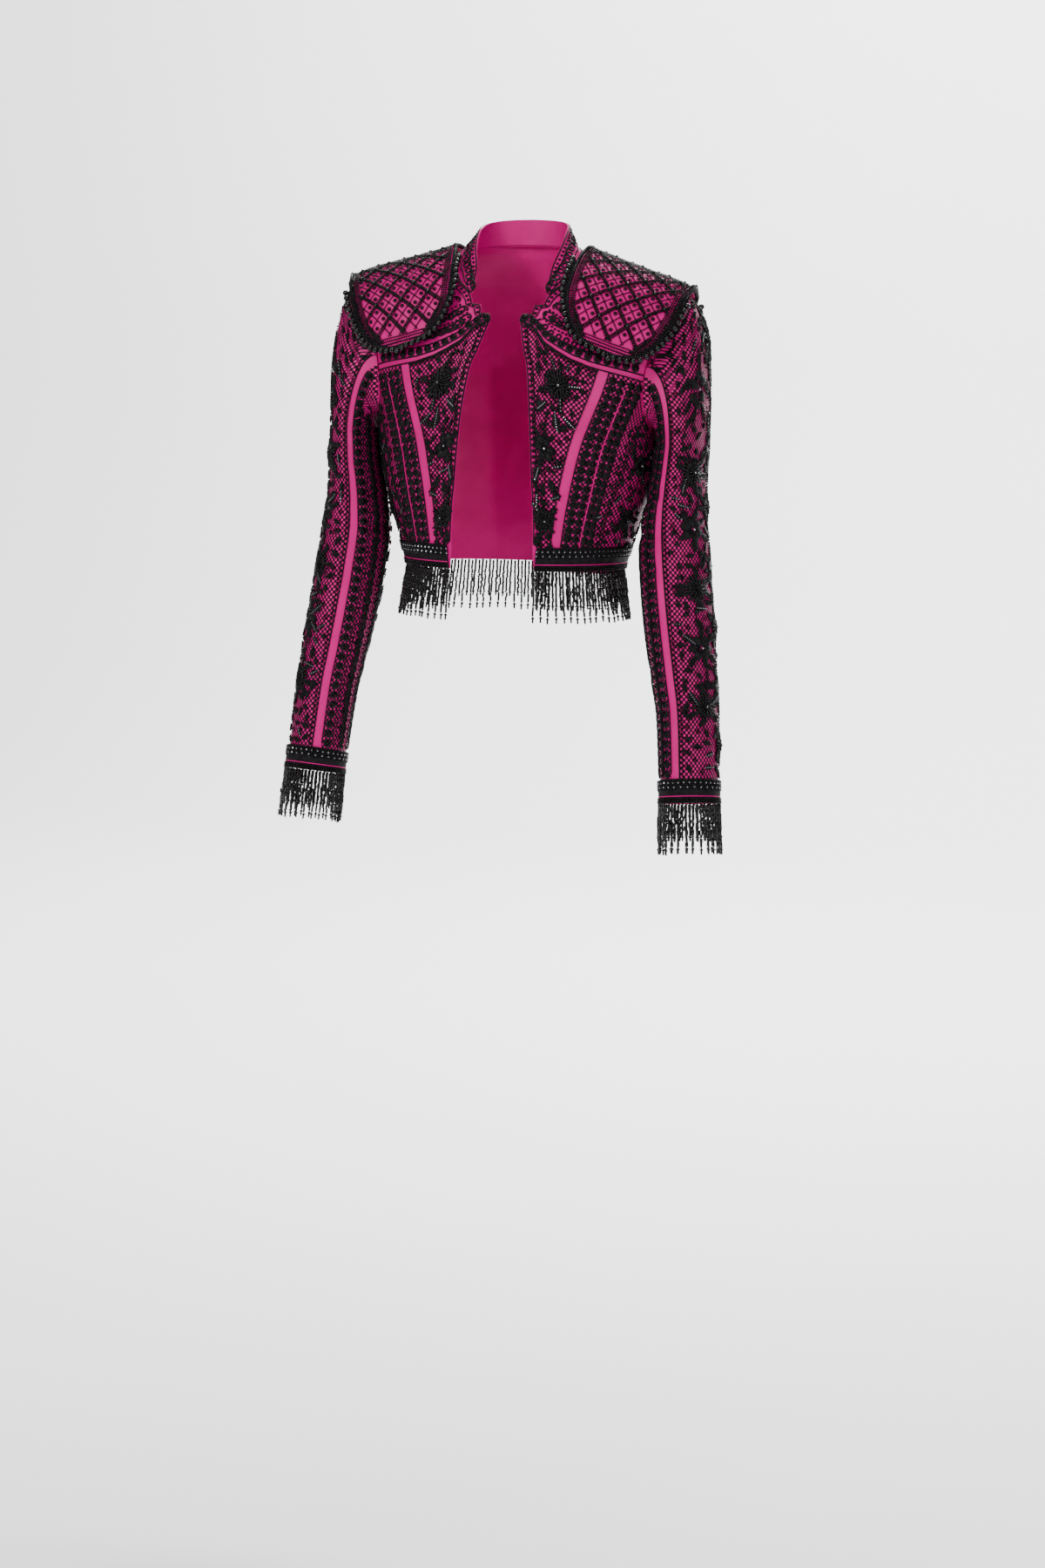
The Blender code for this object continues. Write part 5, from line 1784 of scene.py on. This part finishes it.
class Sleeve:
    """One sleeve: stripe and discs along its front seam, flowers over its outer side."""

    # s, t and radius of the flowers, and whether they are open
    FLOWERS = ((0.56, 0.895, 17.0, 0), (0.30, 0.845, 15.5, 1), (0.80, 0.83, 16.0, 1),
               (0.55, 0.765, 16.0, 1), (0.27, 0.715, 16.5, 0), (0.81, 0.70, 15.5, 0),
               (0.53, 0.635, 16.5, 0), (0.28, 0.585, 15.0, 1), (0.79, 0.565, 15.5, 1),
               (0.52, 0.505, 15.5, 1), (0.27, 0.455, 15.5, 0), (0.78, 0.435, 15.0, 0),
               (0.53, 0.375, 16.0, 0), (0.28, 0.325, 14.5, 1), (0.78, 0.305, 15.0, 1),
               (0.52, 0.245, 15.0, 1), (0.28, 0.195, 14.5, 0), (0.78, 0.175, 14.5, 0),
               (0.53, 0.125, 14.0, 0))

    def __init__(self, kit: Kit, cloth: Cloth, side: Side) -> None:
        """Cut and crease it."""
        self.kit, self.side = kit, side
        self.patches = kit.tailor.sleeve(side)
        for name, patch in self.patches.items():
            cloth.crease(patch, name, side.value)
            cloth.shell(patch, True, patch.name, BARE.get(name, COVERED))
        self.rng = np.random.default_rng(SEED + (5 if side is Side.LEFT else 6))

    def build(self) -> None:
        """Work both halves."""
        self._upper()
        self._under()

    def _upper(self) -> None:
        """Outer half: flowers, leaves and stems over the net."""
        patch = self.patches["sleeve_upper"]
        needle = Needle(self.kit, patch, self.rng)
        low = BAND_CLEAR / patch.length
        for edge in ("left", "right"):
            needle.piping(needle.edge(edge, 1.2, low, 0.985), 1.0, 0.8)
            needle.row(needle.edge(edge, 5.0, low, 0.98), Kind.ROUND, 2.9, (2.4, 2.4, 2.2), 1.2)
        taken = []
        for k, (s, t, radius, is_open) in enumerate(self.FLOWERS):
            s, t = s + self.rng.normal(0, 0.008), t + self.rng.normal(0, 0.003)
            if is_open:
                needle.bloom(s, t, radius * 1.2, 5 + k % 2, 0.4 * k)
            else:
                needle.mum(s, t, radius * 1.15, glint=k % 4 == 0)
            needle.spray(s, t, radius, 6, 15.5)
            taken.append((s, t, radius * 1.3))
        for a, b in zip(self.FLOWERS, self.FLOWERS[3:]):
            middle = ((a[0] + b[0]) / 2 + self.rng.normal(0, 0.05), (a[1] + b[1]) / 2)
            needle.stem([(a[0], a[1] - 0.02), middle, (b[0], b[1] + 0.02)], 3.3)
        needle.fill((0.08, 0.93), (low + 0.01, 0.985), taken, 11.0, (9, 14))
        needle.work.make()

    def _under(self) -> None:
        """Inner half: a bare stripe, a column of discs beside it, then rows of soutache loops."""
        patch = self.patches["sleeve_under"]
        needle = Needle(self.kit, patch, self.rng)
        low = BAND_CLEAR / patch.length
        needle.piping(needle.edge("right", STRIPE, low, 0.95), 0.9, 0.8)
        column = needle.edge("right", 17.4, low, 0.955, 300)
        needle.discs(column, 12.2, (10.8, 10.8, 8.0))
        needle.piping(needle.edge("right", 24.0, low, 0.955), 0.8, 0.8)
        for k, inset in enumerate((32.0, 43.0, 54.0, 65.0)):
            line = needle.edge("right", inset, low, 0.86 - 0.03 * k, 300)
            needle.loops(line, 10.8, 8.6 if k % 2 else -8.6)
            needle.row(needle.moved(line, across=4.3), Kind.ROUND, 5.4, (3.4, 3.4, 2.6), 1.2)
        taken: list[tuple[float, float, float]] = []
        needle.fill((0.06, 0.40), (low + 0.01, 0.93), taken, 11.5, (8, 13))
        needle.work.make()


class ShoulderPiece:
    """Padded piece over the sleeve head: beaded lattice, cord, barrel beads and pearls."""

    PAD = 4.4
    FILL = 0.8
    STEP = 36.0
    END_SHARE = 0.27
    STRANDS, TWIST, TWIST_PITCH = 3, 1.45, 9.0

    def __init__(self, kit: Kit, side: Side) -> None:
        """Shape it."""
        self.kit, self.side = kit, side
        self.patch = kit.tailor.shoulder_pad(side)
        self._quilt()
        self.rng = np.random.default_rng(SEED + (8 if side is Side.LEFT else 9))

    def _quilt(self) -> None:
        """Raise the pad a little inside each diamond."""
        patch = self.patch
        u, v = self._plan()
        puff = np.abs(np.sin(math.pi * (u + v) / self.STEP)
                      * np.sin(math.pi * (u - v) / self.STEP)) ** 0.6
        patch.points = patch.points + patch.normals * (1.1 * puff - 0.5)[..., None]
        patch.measure()

    def _plan(self) -> tuple[Array, Array]:
        """Distances across and over the pad, of its grid."""
        s, t = self.patch.plan()
        return (s - 0.5) * self.patch.width(t), (t - 0.5) * self.patch.length

    def build(self) -> None:
        """Make the pad and work it."""
        self._pad()
        patch = self.patch
        needle = Needle(self.kit, patch, self.rng)
        self._lattice(needle)
        for edge in ("left", "right", "bottom", "top"):
            for inset, bead in ((2.2, 3.0), (5.0, 2.6), (7.6, 2.4)):
                needle.row(needle.edge(edge, inset, 0.02, 0.98, 240), Kind.ROUND, bead * 1.08,
                           (bead, bead, bead), 1.2)
        self._crest(needle.work)
        needle.work.make()
        self._rim()

    def _pad(self) -> None:
        """The pad's shell, closed on itself."""
        patch = self.patch
        mesh, _ = patch.wall(self.PAD)
        patch.unwrap(mesh, "Cut", np.stack(self._plan(), -1))
        mesh.materials.append(self.kit.finishes.satin)
        mesh.shade_smooth()
        mesh.set_sharp_from_angle(angle=SHARP_EDGE)
        obj = linked(f"pad_{patch.name}", mesh)
        hand_in(obj, "satin", [patch.name])

    def _cross(self, u: Array, v: Array) -> tuple[Array, Array]:
        """(s, t) of plan distances."""
        t = 0.5 + v / self.patch.length
        return 0.5 + u / self.patch.width(np.clip(t, 0, 1)), t

    def _lattice(self, needle: Needle) -> None:
        """Diagonal strips of beads, diamonds split in four, a ring in each small square."""
        patch, step = self.patch, self.STEP
        half_u, half_v = float(patch.width(0.5)) / 2, patch.length / 2
        reach = half_u + half_v
        for way in (1, -1):
            for k in range(-int(reach / step) - 1, int(reach / step) + 2):
                run = np.linspace(-reach, reach, int(reach / 0.5))
                for shift, bead, lift in ((-1.7, 2.4, 1.2), (0.0, 2.7, 2.1), (1.7, 2.4, 1.2)):
                    self._strip(needle.work, run, way * run + k * step + shift * math.sqrt(2), bead, lift)
                self._strip(needle.work, run, way * run + (k + 0.5) * step, 2.1, 0.9)
        count = int(reach / step * 2) + 2
        for i in range(-count, count + 1):
            for j in range(-count, count + 1):
                s, t = self._cross(np.array((i - j) * step / 4), np.array((i + j + 1) * step / 4))
                if 0.09 < s < 0.91 and 0.05 < t < 0.95:
                    needle.work.lay(Kind.RING, patch, s, t, (5.2, 5.2, 5.0), 1.2)
                    needle.dots(s, t, 2.0, 1.5)
                s, t = self._cross(np.array((i - j) * step / 4), np.array((i + j) * step / 4))
                if i % 2 == 0 and j % 2 == 0 and 0.08 < s < 0.92 and 0.05 < t < 0.95:
                    needle.dots(s, t, 4.6, 3.0, Kind.PEARL)

    def _strip(self, work: Work, u: Array, v: Array, bead: float, lift: float) -> None:
        """One diagonal row of beads inside the border."""
        s, t = self._cross(u, v)
        keep = (s > 0.055) & (s < 0.945) & (t > 0.03) & (t < 0.97)
        if keep.sum() > 6:
            a, b, da, db = run_of(self.patch, s[keep], t[keep], bead * 1.06)
            work.lay(Kind.ROUND, self.patch, a, b, (bead, bead, bead), lift, (da, db))

    def _crest(self, work: Work) -> None:
        """Short bead loops that stand up along the outer edge."""
        patch = self.patch
        t = np.linspace(0.03, 0.97, 74)
        base, normal = patch.at(np.full_like(t, 0.985), t, 0.6)
        out = unit(base - patch.at(np.full_like(t, 0.93), t, 0.6)[0])
        lean = unit(normal + 0.5 * out)
        for k in range(3):
            points = base + lean * (1.4 + 2.3 * k) + self.rng.normal(0, 0.25, base.shape)
            work.put(Kind.ROUND, points, normal, out, (2.3, 2.3, 2.3))

    def _outline(self, count: int) -> tuple[Array, Array, Array]:
        """Closed path round the rim: points, directions out of the pad and normals."""
        k = np.linspace(0, 1, count)
        s = np.concatenate([np.zeros(count), k, np.ones(count), 1 - k])
        t = np.concatenate([1 - k, np.zeros(count), k, np.ones(count)])
        points, normal = self.patch.at(s, t)
        inward = self.patch.at(np.clip(s, 0.03, 0.97), np.clip(t, 0.015, 0.985))[0] - points
        return points, -unit(inward), normal

    def _rim(self) -> None:
        """Twisted cord up both side edges, barrel beads and pearls along both ends."""
        node = f"shoulder_cord_{self.side.word}"
        work = Work(self.kit, node, [node])
        points, out, normal = self._outline(150)
        points = points + out * 2.8 + normal * 0.4
        length = run_length(points)
        spots = np.linspace(0, length[-1], int(length[-1] / 0.9))
        path, outs, up = (spread(rows, length, spots) for rows in (points, out, normal))
        outs = unit(outs)
        for strand in range(self.STRANDS):
            turn = spots / self.TWIST_PITCH * math.tau + strand * math.tau / self.STRANDS
            twist = (outs * (self.TWIST * np.cos(turn))[:, None]
                     + up * (self.TWIST * np.sin(turn))[:, None])
            work.cord("soutache", 1.5, path + twist)
        for behind in (False, True):
            self._pearls(work, behind)
        work.make()

    def _pearls(self, work: Work, behind: bool) -> None:
        """Barrel beads, then pearls, round one lower end of the pad.

        Args:
            work: The rim's gathering.
            behind: True for the end behind the shoulder.
        """
        k = np.linspace(0, 1, 60)
        s = np.concatenate([np.zeros(60), k, np.ones(60)])
        t = np.concatenate([self.END_SHARE * (1 - k), np.zeros(60), self.END_SHARE * k])
        if behind:
            t = 1 - t
        base, normal = self.patch.at(s, t)
        away = unit(base - self.patch.at(np.clip(s, 0.05, 0.95), np.clip(t, 0.03, 0.97))[0])
        for _ in range(30):
            away[1:-1] = (away[:-2] + 2 * away[1:-1] + away[2:]) / 4
        for kind, pitch, out, lift, size in ((Kind.BUGLE, 3.5, 6.2, 2.4, (4.8, 2.9, 2.9)),
                                             (Kind.PEARL, 8.3, 9.8, 3.6, (7.8, 7.8, 7.8))):
            line = base + unit(away) * out + normal * lift
            run = run_length(line)
            spots = np.linspace(0, run[-1], int(run[-1] / pitch) + 1)
            line, facing, along = (spread(rows, run, spots) for rows in (line, normal, away))
            work.put(kind, line, unit(facing), unit(along), size)


class Bands:
    """Beaded bands round the hem and cuffs, and the strands that hang from them."""

    ROWS = ((0.955, 2.6, 2.9, Kind.ROUND), (0.86, 3.0, 6.9, Kind.CLEAR), (0.765, 2.6, 2.9, Kind.ROUND),
            (0.67, 3.0, 8.3, Kind.CLEAR), (0.58, 2.4, 2.6, Kind.ROUND), (0.20, 2.4, 2.7, Kind.ROUND),
            (0.11, 2.6, 2.9, Kind.ROUND), (0.03, 2.8, 3.1, Kind.ROUND))
    STRAND_PITCH = 4.5
    SHORT_STRAND = 0.74
    THREAD = 0.3

    def __init__(self, kit: Kit) -> None:
        self.kit = kit
        self.rng = np.random.default_rng(SEED + 11)

    def build(self) -> None:
        """Hem, then both cuffs."""
        tailor = self.kit.tailor
        edge = float(tailor.body.angle_at(np.array(FRONT_EDGE.rows["x"][0]), np.array(CUT.hem_z)))
        angles = np.concatenate([np.linspace(edge, 180, 150), np.linspace(-180, -edge, 150)[1:]])
        turns = np.linspace(0, 360, 121)

        def hem(z: float, lift: float) -> Array:
            """The hem's level line."""
            return tailor.hem_ring(angles, np.full(len(angles), z), lift)

        self._band("hem_band", hem, CUT.hem_z, CUT.hem_band_top, False)
        self._fringe("hem_fringe", hem, CUT.hem_z, CUT.hem_fringe_drop, 0.6)
        for side in Side:
            def cuff(z: float, lift: float, side: Side = side) -> Array:
                """The cuff's level line."""
                return tailor.cuff_ring(side, turns, np.full(len(turns), z), lift)

            self._band(f"cuff_band_{side.word}", cuff, CUT.cuff_z, CUT.cuff_z + CUT.cuff_band_height, True)
            self._fringe(f"cuff_fringe_{side.word}", cuff, CUT.cuff_z, CUT.cuff_fringe_drop, 2.2)

    def _band(self, name: str, ring: Callable[[float, float], Array], low: float, high: float,
              closed: bool) -> None:
        """A dark band with rows of beads.

        Args:
            name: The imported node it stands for.
            ring: Points of a level line by height and lift.
            low: Its lower edge.
            high: Its upper edge.
            closed: True for a ring.
        """
        levels = np.linspace(low, high, 9)
        base = CUT.braid_lift + 0.2
        outer = np.stack([ring(z, base + 1.2 + 0.5 * math.sin(math.pi * k / 8))
                          for k, z in enumerate(levels)])
        inner = np.stack([ring(z, base) for z in levels])
        self._strip(name, outer, inner, closed)
        work = Work(self.kit, name, [name])
        tall = high - low
        for share, bead, pitch, kind in self.ROWS:
            self._line(work, ring(low + tall * share, base + 2.0), kind, pitch, (bead, bead, bead))
            if kind is Kind.CLEAR:
                self._line(work, ring(low + tall * share, base + 1.8), Kind.ROUND, 2.9, (bead, bead, bead))
        work.cord("satin", 0.75, ring(low + tall * 0.29, base + 1.6))
        work.cord("soutache", 0.9, ring(high, base + 0.8))
        work.make()

    def _strip(self, name: str, outer: Array, inner: Array, closed: bool) -> None:
        """The band's own cloth."""
        bm = bmesh.new()
        if closed:
            outer, inner = outer[:, :-1], inner[:, :-1]
        skins = [[[bm.verts.new(p * MM) for p in row] for row in skin] for skin in (outer, inner)]
        rows, columns = outer.shape[:2]
        for r in range(rows - 1):
            for c in range(columns if closed else columns - 1):
                d = (c + 1) % columns
                for skin in skins:
                    bm.faces.new((skin[r][c], skin[r][d], skin[r + 1][d], skin[r + 1][c]))
        for r in (0, rows - 1):
            for c in range(columns if closed else columns - 1):
                d = (c + 1) % columns
                bm.faces.new((skins[0][r][c], skins[0][r][d], skins[1][r][d], skins[1][r][c]))
        if not closed:
            for c in (0, columns - 1):
                for r in range(rows - 1):
                    bm.faces.new((skins[0][r][c], skins[0][r + 1][c], skins[1][r + 1][c], skins[1][r][c]))
        bmesh.ops.recalc_face_normals(bm, faces=bm.faces)
        mesh = bpy.data.meshes.new(name)
        bm.to_mesh(mesh)
        bm.free()
        mesh.shade_smooth()
        mesh.set_sharp_from_angle(angle=math.radians(50))
        mesh.materials.append(self.kit.finishes.velvet)
        obj = hand_in(linked(f"braid_{name}", mesh), "soutache", [name])
        around = float(run_length(outer[4])[-1]) * MM
        if closed:
            around += float(np.linalg.norm(outer[4, 0] - outer[4, -1])) * MM

    @staticmethod
    def _along(points: Array, pitch: float) -> tuple[Array, Array, Array]:
        """Even places along a line, with directions ahead and their shares of its length."""
        run = run_length(points)
        k = np.linspace(0, run[-1], int(run[-1] / pitch) + 1)
        spot = spread(points, run, k)
        return spot, unit(np.gradient(spot, axis=0)), k / run[-1]

    def _line(self, work: Work, points: Array, kind: Kind, pitch: float, size: Sequence[float]) -> None:
        """A row of beads along a level line."""
        spot, ahead, _ = self._along(points, pitch)
        work.put(kind, spot, unit(np.cross(ahead, [0.0, 0.0, 1.0])), ahead, size)

    def _fringe(self, name: str, ring: Callable[[float, float], Array], top: float, drop: float,
                lift: float) -> None:
        """Strands of bugles and beads, long and short by turns.

        Args:
            name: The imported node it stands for.
            ring: Points of a level line by height and lift.
            top: Height they hang from.
            drop: Their greatest length.
            lift: How far out of the cloth's line they hang.
        """
        work = Work(self.kit, name, [name])
        head, _, share = self._along(ring(top - 0.5, lift), self.STRAND_PITCH)
        foot_line = ring(top - drop, lift)
        run = run_length(foot_line)
        foot = spread(foot_line, run, share * run[-1])
        count = len(head)
        odd = np.arange(count) % 2
        reach = np.where(odd, self.SHORT_STRAND, 1.0) * self.rng.uniform(0.96, 1.0, count)
        hang = foot - head
        hang += self.rng.normal(0, 1.0, hang.shape) * [1, 1, 0]
        down = unit(hang)
        full = np.linalg.norm(hang, axis=1) * reach
        aside = unit(np.cross(down, [0.0, 1.0, 0.01]))
        for kind, at, size in self._strand_plan():
            bow = np.sin(math.pi * at) * self.rng.normal(0, 0.5, count)
            points = head + down * (full * at)[:, None] + aside * bow[:, None]
            work.put(kind, points, aside, down, size)
        for start, whole in zip(head, down * full[:, None]):
            work.cord("soutache", self.THREAD, np.stack([start, start + whole * 0.5, start + whole]))
        work.make()

    @staticmethod
    def _strand_plan() -> list[tuple[Kind, float, tuple[float, float, float]]]:
        """Kinds of beads down a strand with their places and sizes."""
        plan = [(Kind.BUGLE, start + (end - start) / bugles * (k + 0.5), (5.6, 2.5, 2.5))
                for start, end, bugles in ((0.01, 0.29, 3), (0.37, 0.60, 3), (0.68, 0.86, 2))
                for k in range(bugles)]
        plan += [(Kind.ROUND, at, (3.5, 3.5, 3.2)) for at in (0.31, 0.345, 0.62, 0.655)]
        return plan + [(Kind.ROUND, 0.90, (4.2, 4.2, 4.2)), (Kind.BUGLE, 0.955, (4.6, 2.1, 2.1))]


# ---------------------------------------------------------------- stage

@dataclass(frozen=True)
class Lamp:
    """An area light."""

    name: str
    place: tuple[float, float, float]
    size: float
    power: float
    aim: tuple[float, float, float] = (0, 0, -0.35)


LAMPS = (Lamp("key", (-1.5, -2.6, 1.5), 1.3, 64), Lamp("fill", (2.4, -2.2, 0.5), 1.8, 28),
         Lamp("top", (0.2, 0.3, 2.4), 1.6, 46), Lamp("glint_left", (-1.0, -2.4, 0.2), 0.14, 12),
         Lamp("glint_right", (1.3, -2.7, 0.9), 0.14, 12), Lamp("back", (0.6, 2.0, 1.2), 1.2, 16),
         Lamp("backdrop", (0.0, 2.4, 3.6), 1.8, 1100, (0, 6.4, -0.6)))


class Stage:
    """Floor, backdrop, lights and camera."""

    FLOOR, NEAR_Y, HALF_WIDTH, TALL = -1.52, -7.0, 9.0, 7.5
    BEND_Y, BEND = 5.2, 1.4
    PAPER = (0.90, 0.90, 0.91, 1), (0.93, 0.93, 0.94, 1)
    TURN, DISTANCE, EYE, AIM, LOOK, ROLL, LENS = 15.0, 4.4, -0.10, 0.0135, -0.659, 1.2, 81.5

    def build(self) -> None:
        """Set it up."""
        self._sweep()
        self._world()
        for lamp in LAMPS:
            self._light(lamp)
        self._camera()

    def _sweep(self) -> None:
        """Pale floor that curves up into a backdrop."""
        bend = [(self.BEND_Y + self.BEND * math.sin(a), self.BEND * (1 - math.cos(a)))
                for a in np.linspace(0, math.pi / 2, 13)]
        profile = [(self.NEAR_Y, 0.0), *bend, (self.BEND_Y + self.BEND, self.TALL)]
        verts = [(x, y, self.FLOOR + z) for y, z in profile for x in (-self.HALF_WIDTH, self.HALF_WIDTH)]
        faces = [(2 * i, 2 * i + 1, 2 * i + 3, 2 * i + 2) for i in range(len(profile) - 1)]
        mesh = bpy.data.meshes.new("sweep")
        mesh.from_pydata(verts, [], faces)
        mesh.shade_smooth()
        material = bpy.data.materials.new("sweep")
        material.use_nodes = True
        g = Nodes(material.node_tree)
        shader = material.node_tree.nodes["Principled BSDF"]
        noise = g.noise(g.add("ShaderNodeTexCoord").outputs["Object"], 2.0)
        g.feed(g.mix(noise.outputs[0], *self.PAPER), shader.inputs["Base Color"])
        shader.inputs["Roughness"].default_value = 0.8
        mesh.materials.append(material)
        linked("sweep", mesh)

    @staticmethod
    def _world() -> None:
        """Even pale surroundings."""
        world = bpy.data.worlds.new("studio")
        world.use_nodes = True
        back = world.node_tree.nodes["Background"]
        back.inputs["Color"].default_value = (0.93, 0.94, 0.96, 1)
        back.inputs["Strength"].default_value = 0.36
        bpy.context.scene.world = world

    @staticmethod
    def _light(lamp: Lamp) -> None:
        """One area light aimed at its target."""
        data = bpy.data.lights.new(lamp.name, "AREA")
        data.size, data.energy = lamp.size, lamp.power
        obj = linked(lamp.name, data)
        obj.location = lamp.place
        obj.rotation_euler = (Vector(lamp.aim) - Vector(lamp.place)).to_track_quat("-Z", "Y").to_euler()

    def _camera(self) -> None:
        """The camera, a little to the wearer's left and turned a touch."""
        turn = math.radians(self.TURN)
        right = Vector((math.cos(turn), math.sin(turn), 0))
        place = Vector((math.sin(turn), -math.cos(turn), 0)) * self.DISTANCE + right * self.AIM
        place.z = self.EYE
        target = right * self.AIM + Vector((0, 0, self.LOOK))
        data = bpy.data.cameras.new("camera")
        data.lens, data.sensor_width = self.LENS, 36.0
        obj = linked("camera", data)
        obj.location = place
        look = (target - place).to_track_quat("-Z", "Y").to_matrix()
        roll = math.radians(self.ROLL)
        side, up = look.col[0].copy(), look.col[1].copy()
        look.col[0] = side * math.cos(roll) + up * math.sin(roll)
        look.col[1] = up * math.cos(roll) - side * math.sin(roll)
        obj.rotation_euler = look.to_euler()
        bpy.context.scene.camera = obj


def main() -> None:
    """Load the frame, build every part of the jacket and the stage, and log the face count of each piece."""
    logging.basicConfig(level=logging.INFO, format="%(name)s: %(message)s")
    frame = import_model()
    log.info("CAD nodes: %d", len(frame["nodes"]))
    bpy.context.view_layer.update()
    kit = Kit(Tailor(), Finishes(Effects()), GeometryTrees(), BeadShapes())
    cloth = Cloth(kit)
    for side in Side:
        log.info("front, %s", side.word)
        BodyFront(kit, cloth, side).build()
        log.info("sleeve, %s", side.word)
        Sleeve(kit, cloth, side).build()
        log.info("shoulder piece, %s", side.word)
        ShoulderPiece(kit, side).build()
    log.info("back")
    BodyBack(kit, cloth).build()
    log.info("collar")
    Collar(kit, cloth).build()
    log.info("bands and fringe")
    Bands(kit).build()
    kit.shapes.clear()
    Stage().build()


if __name__ == "__main__":
    main()
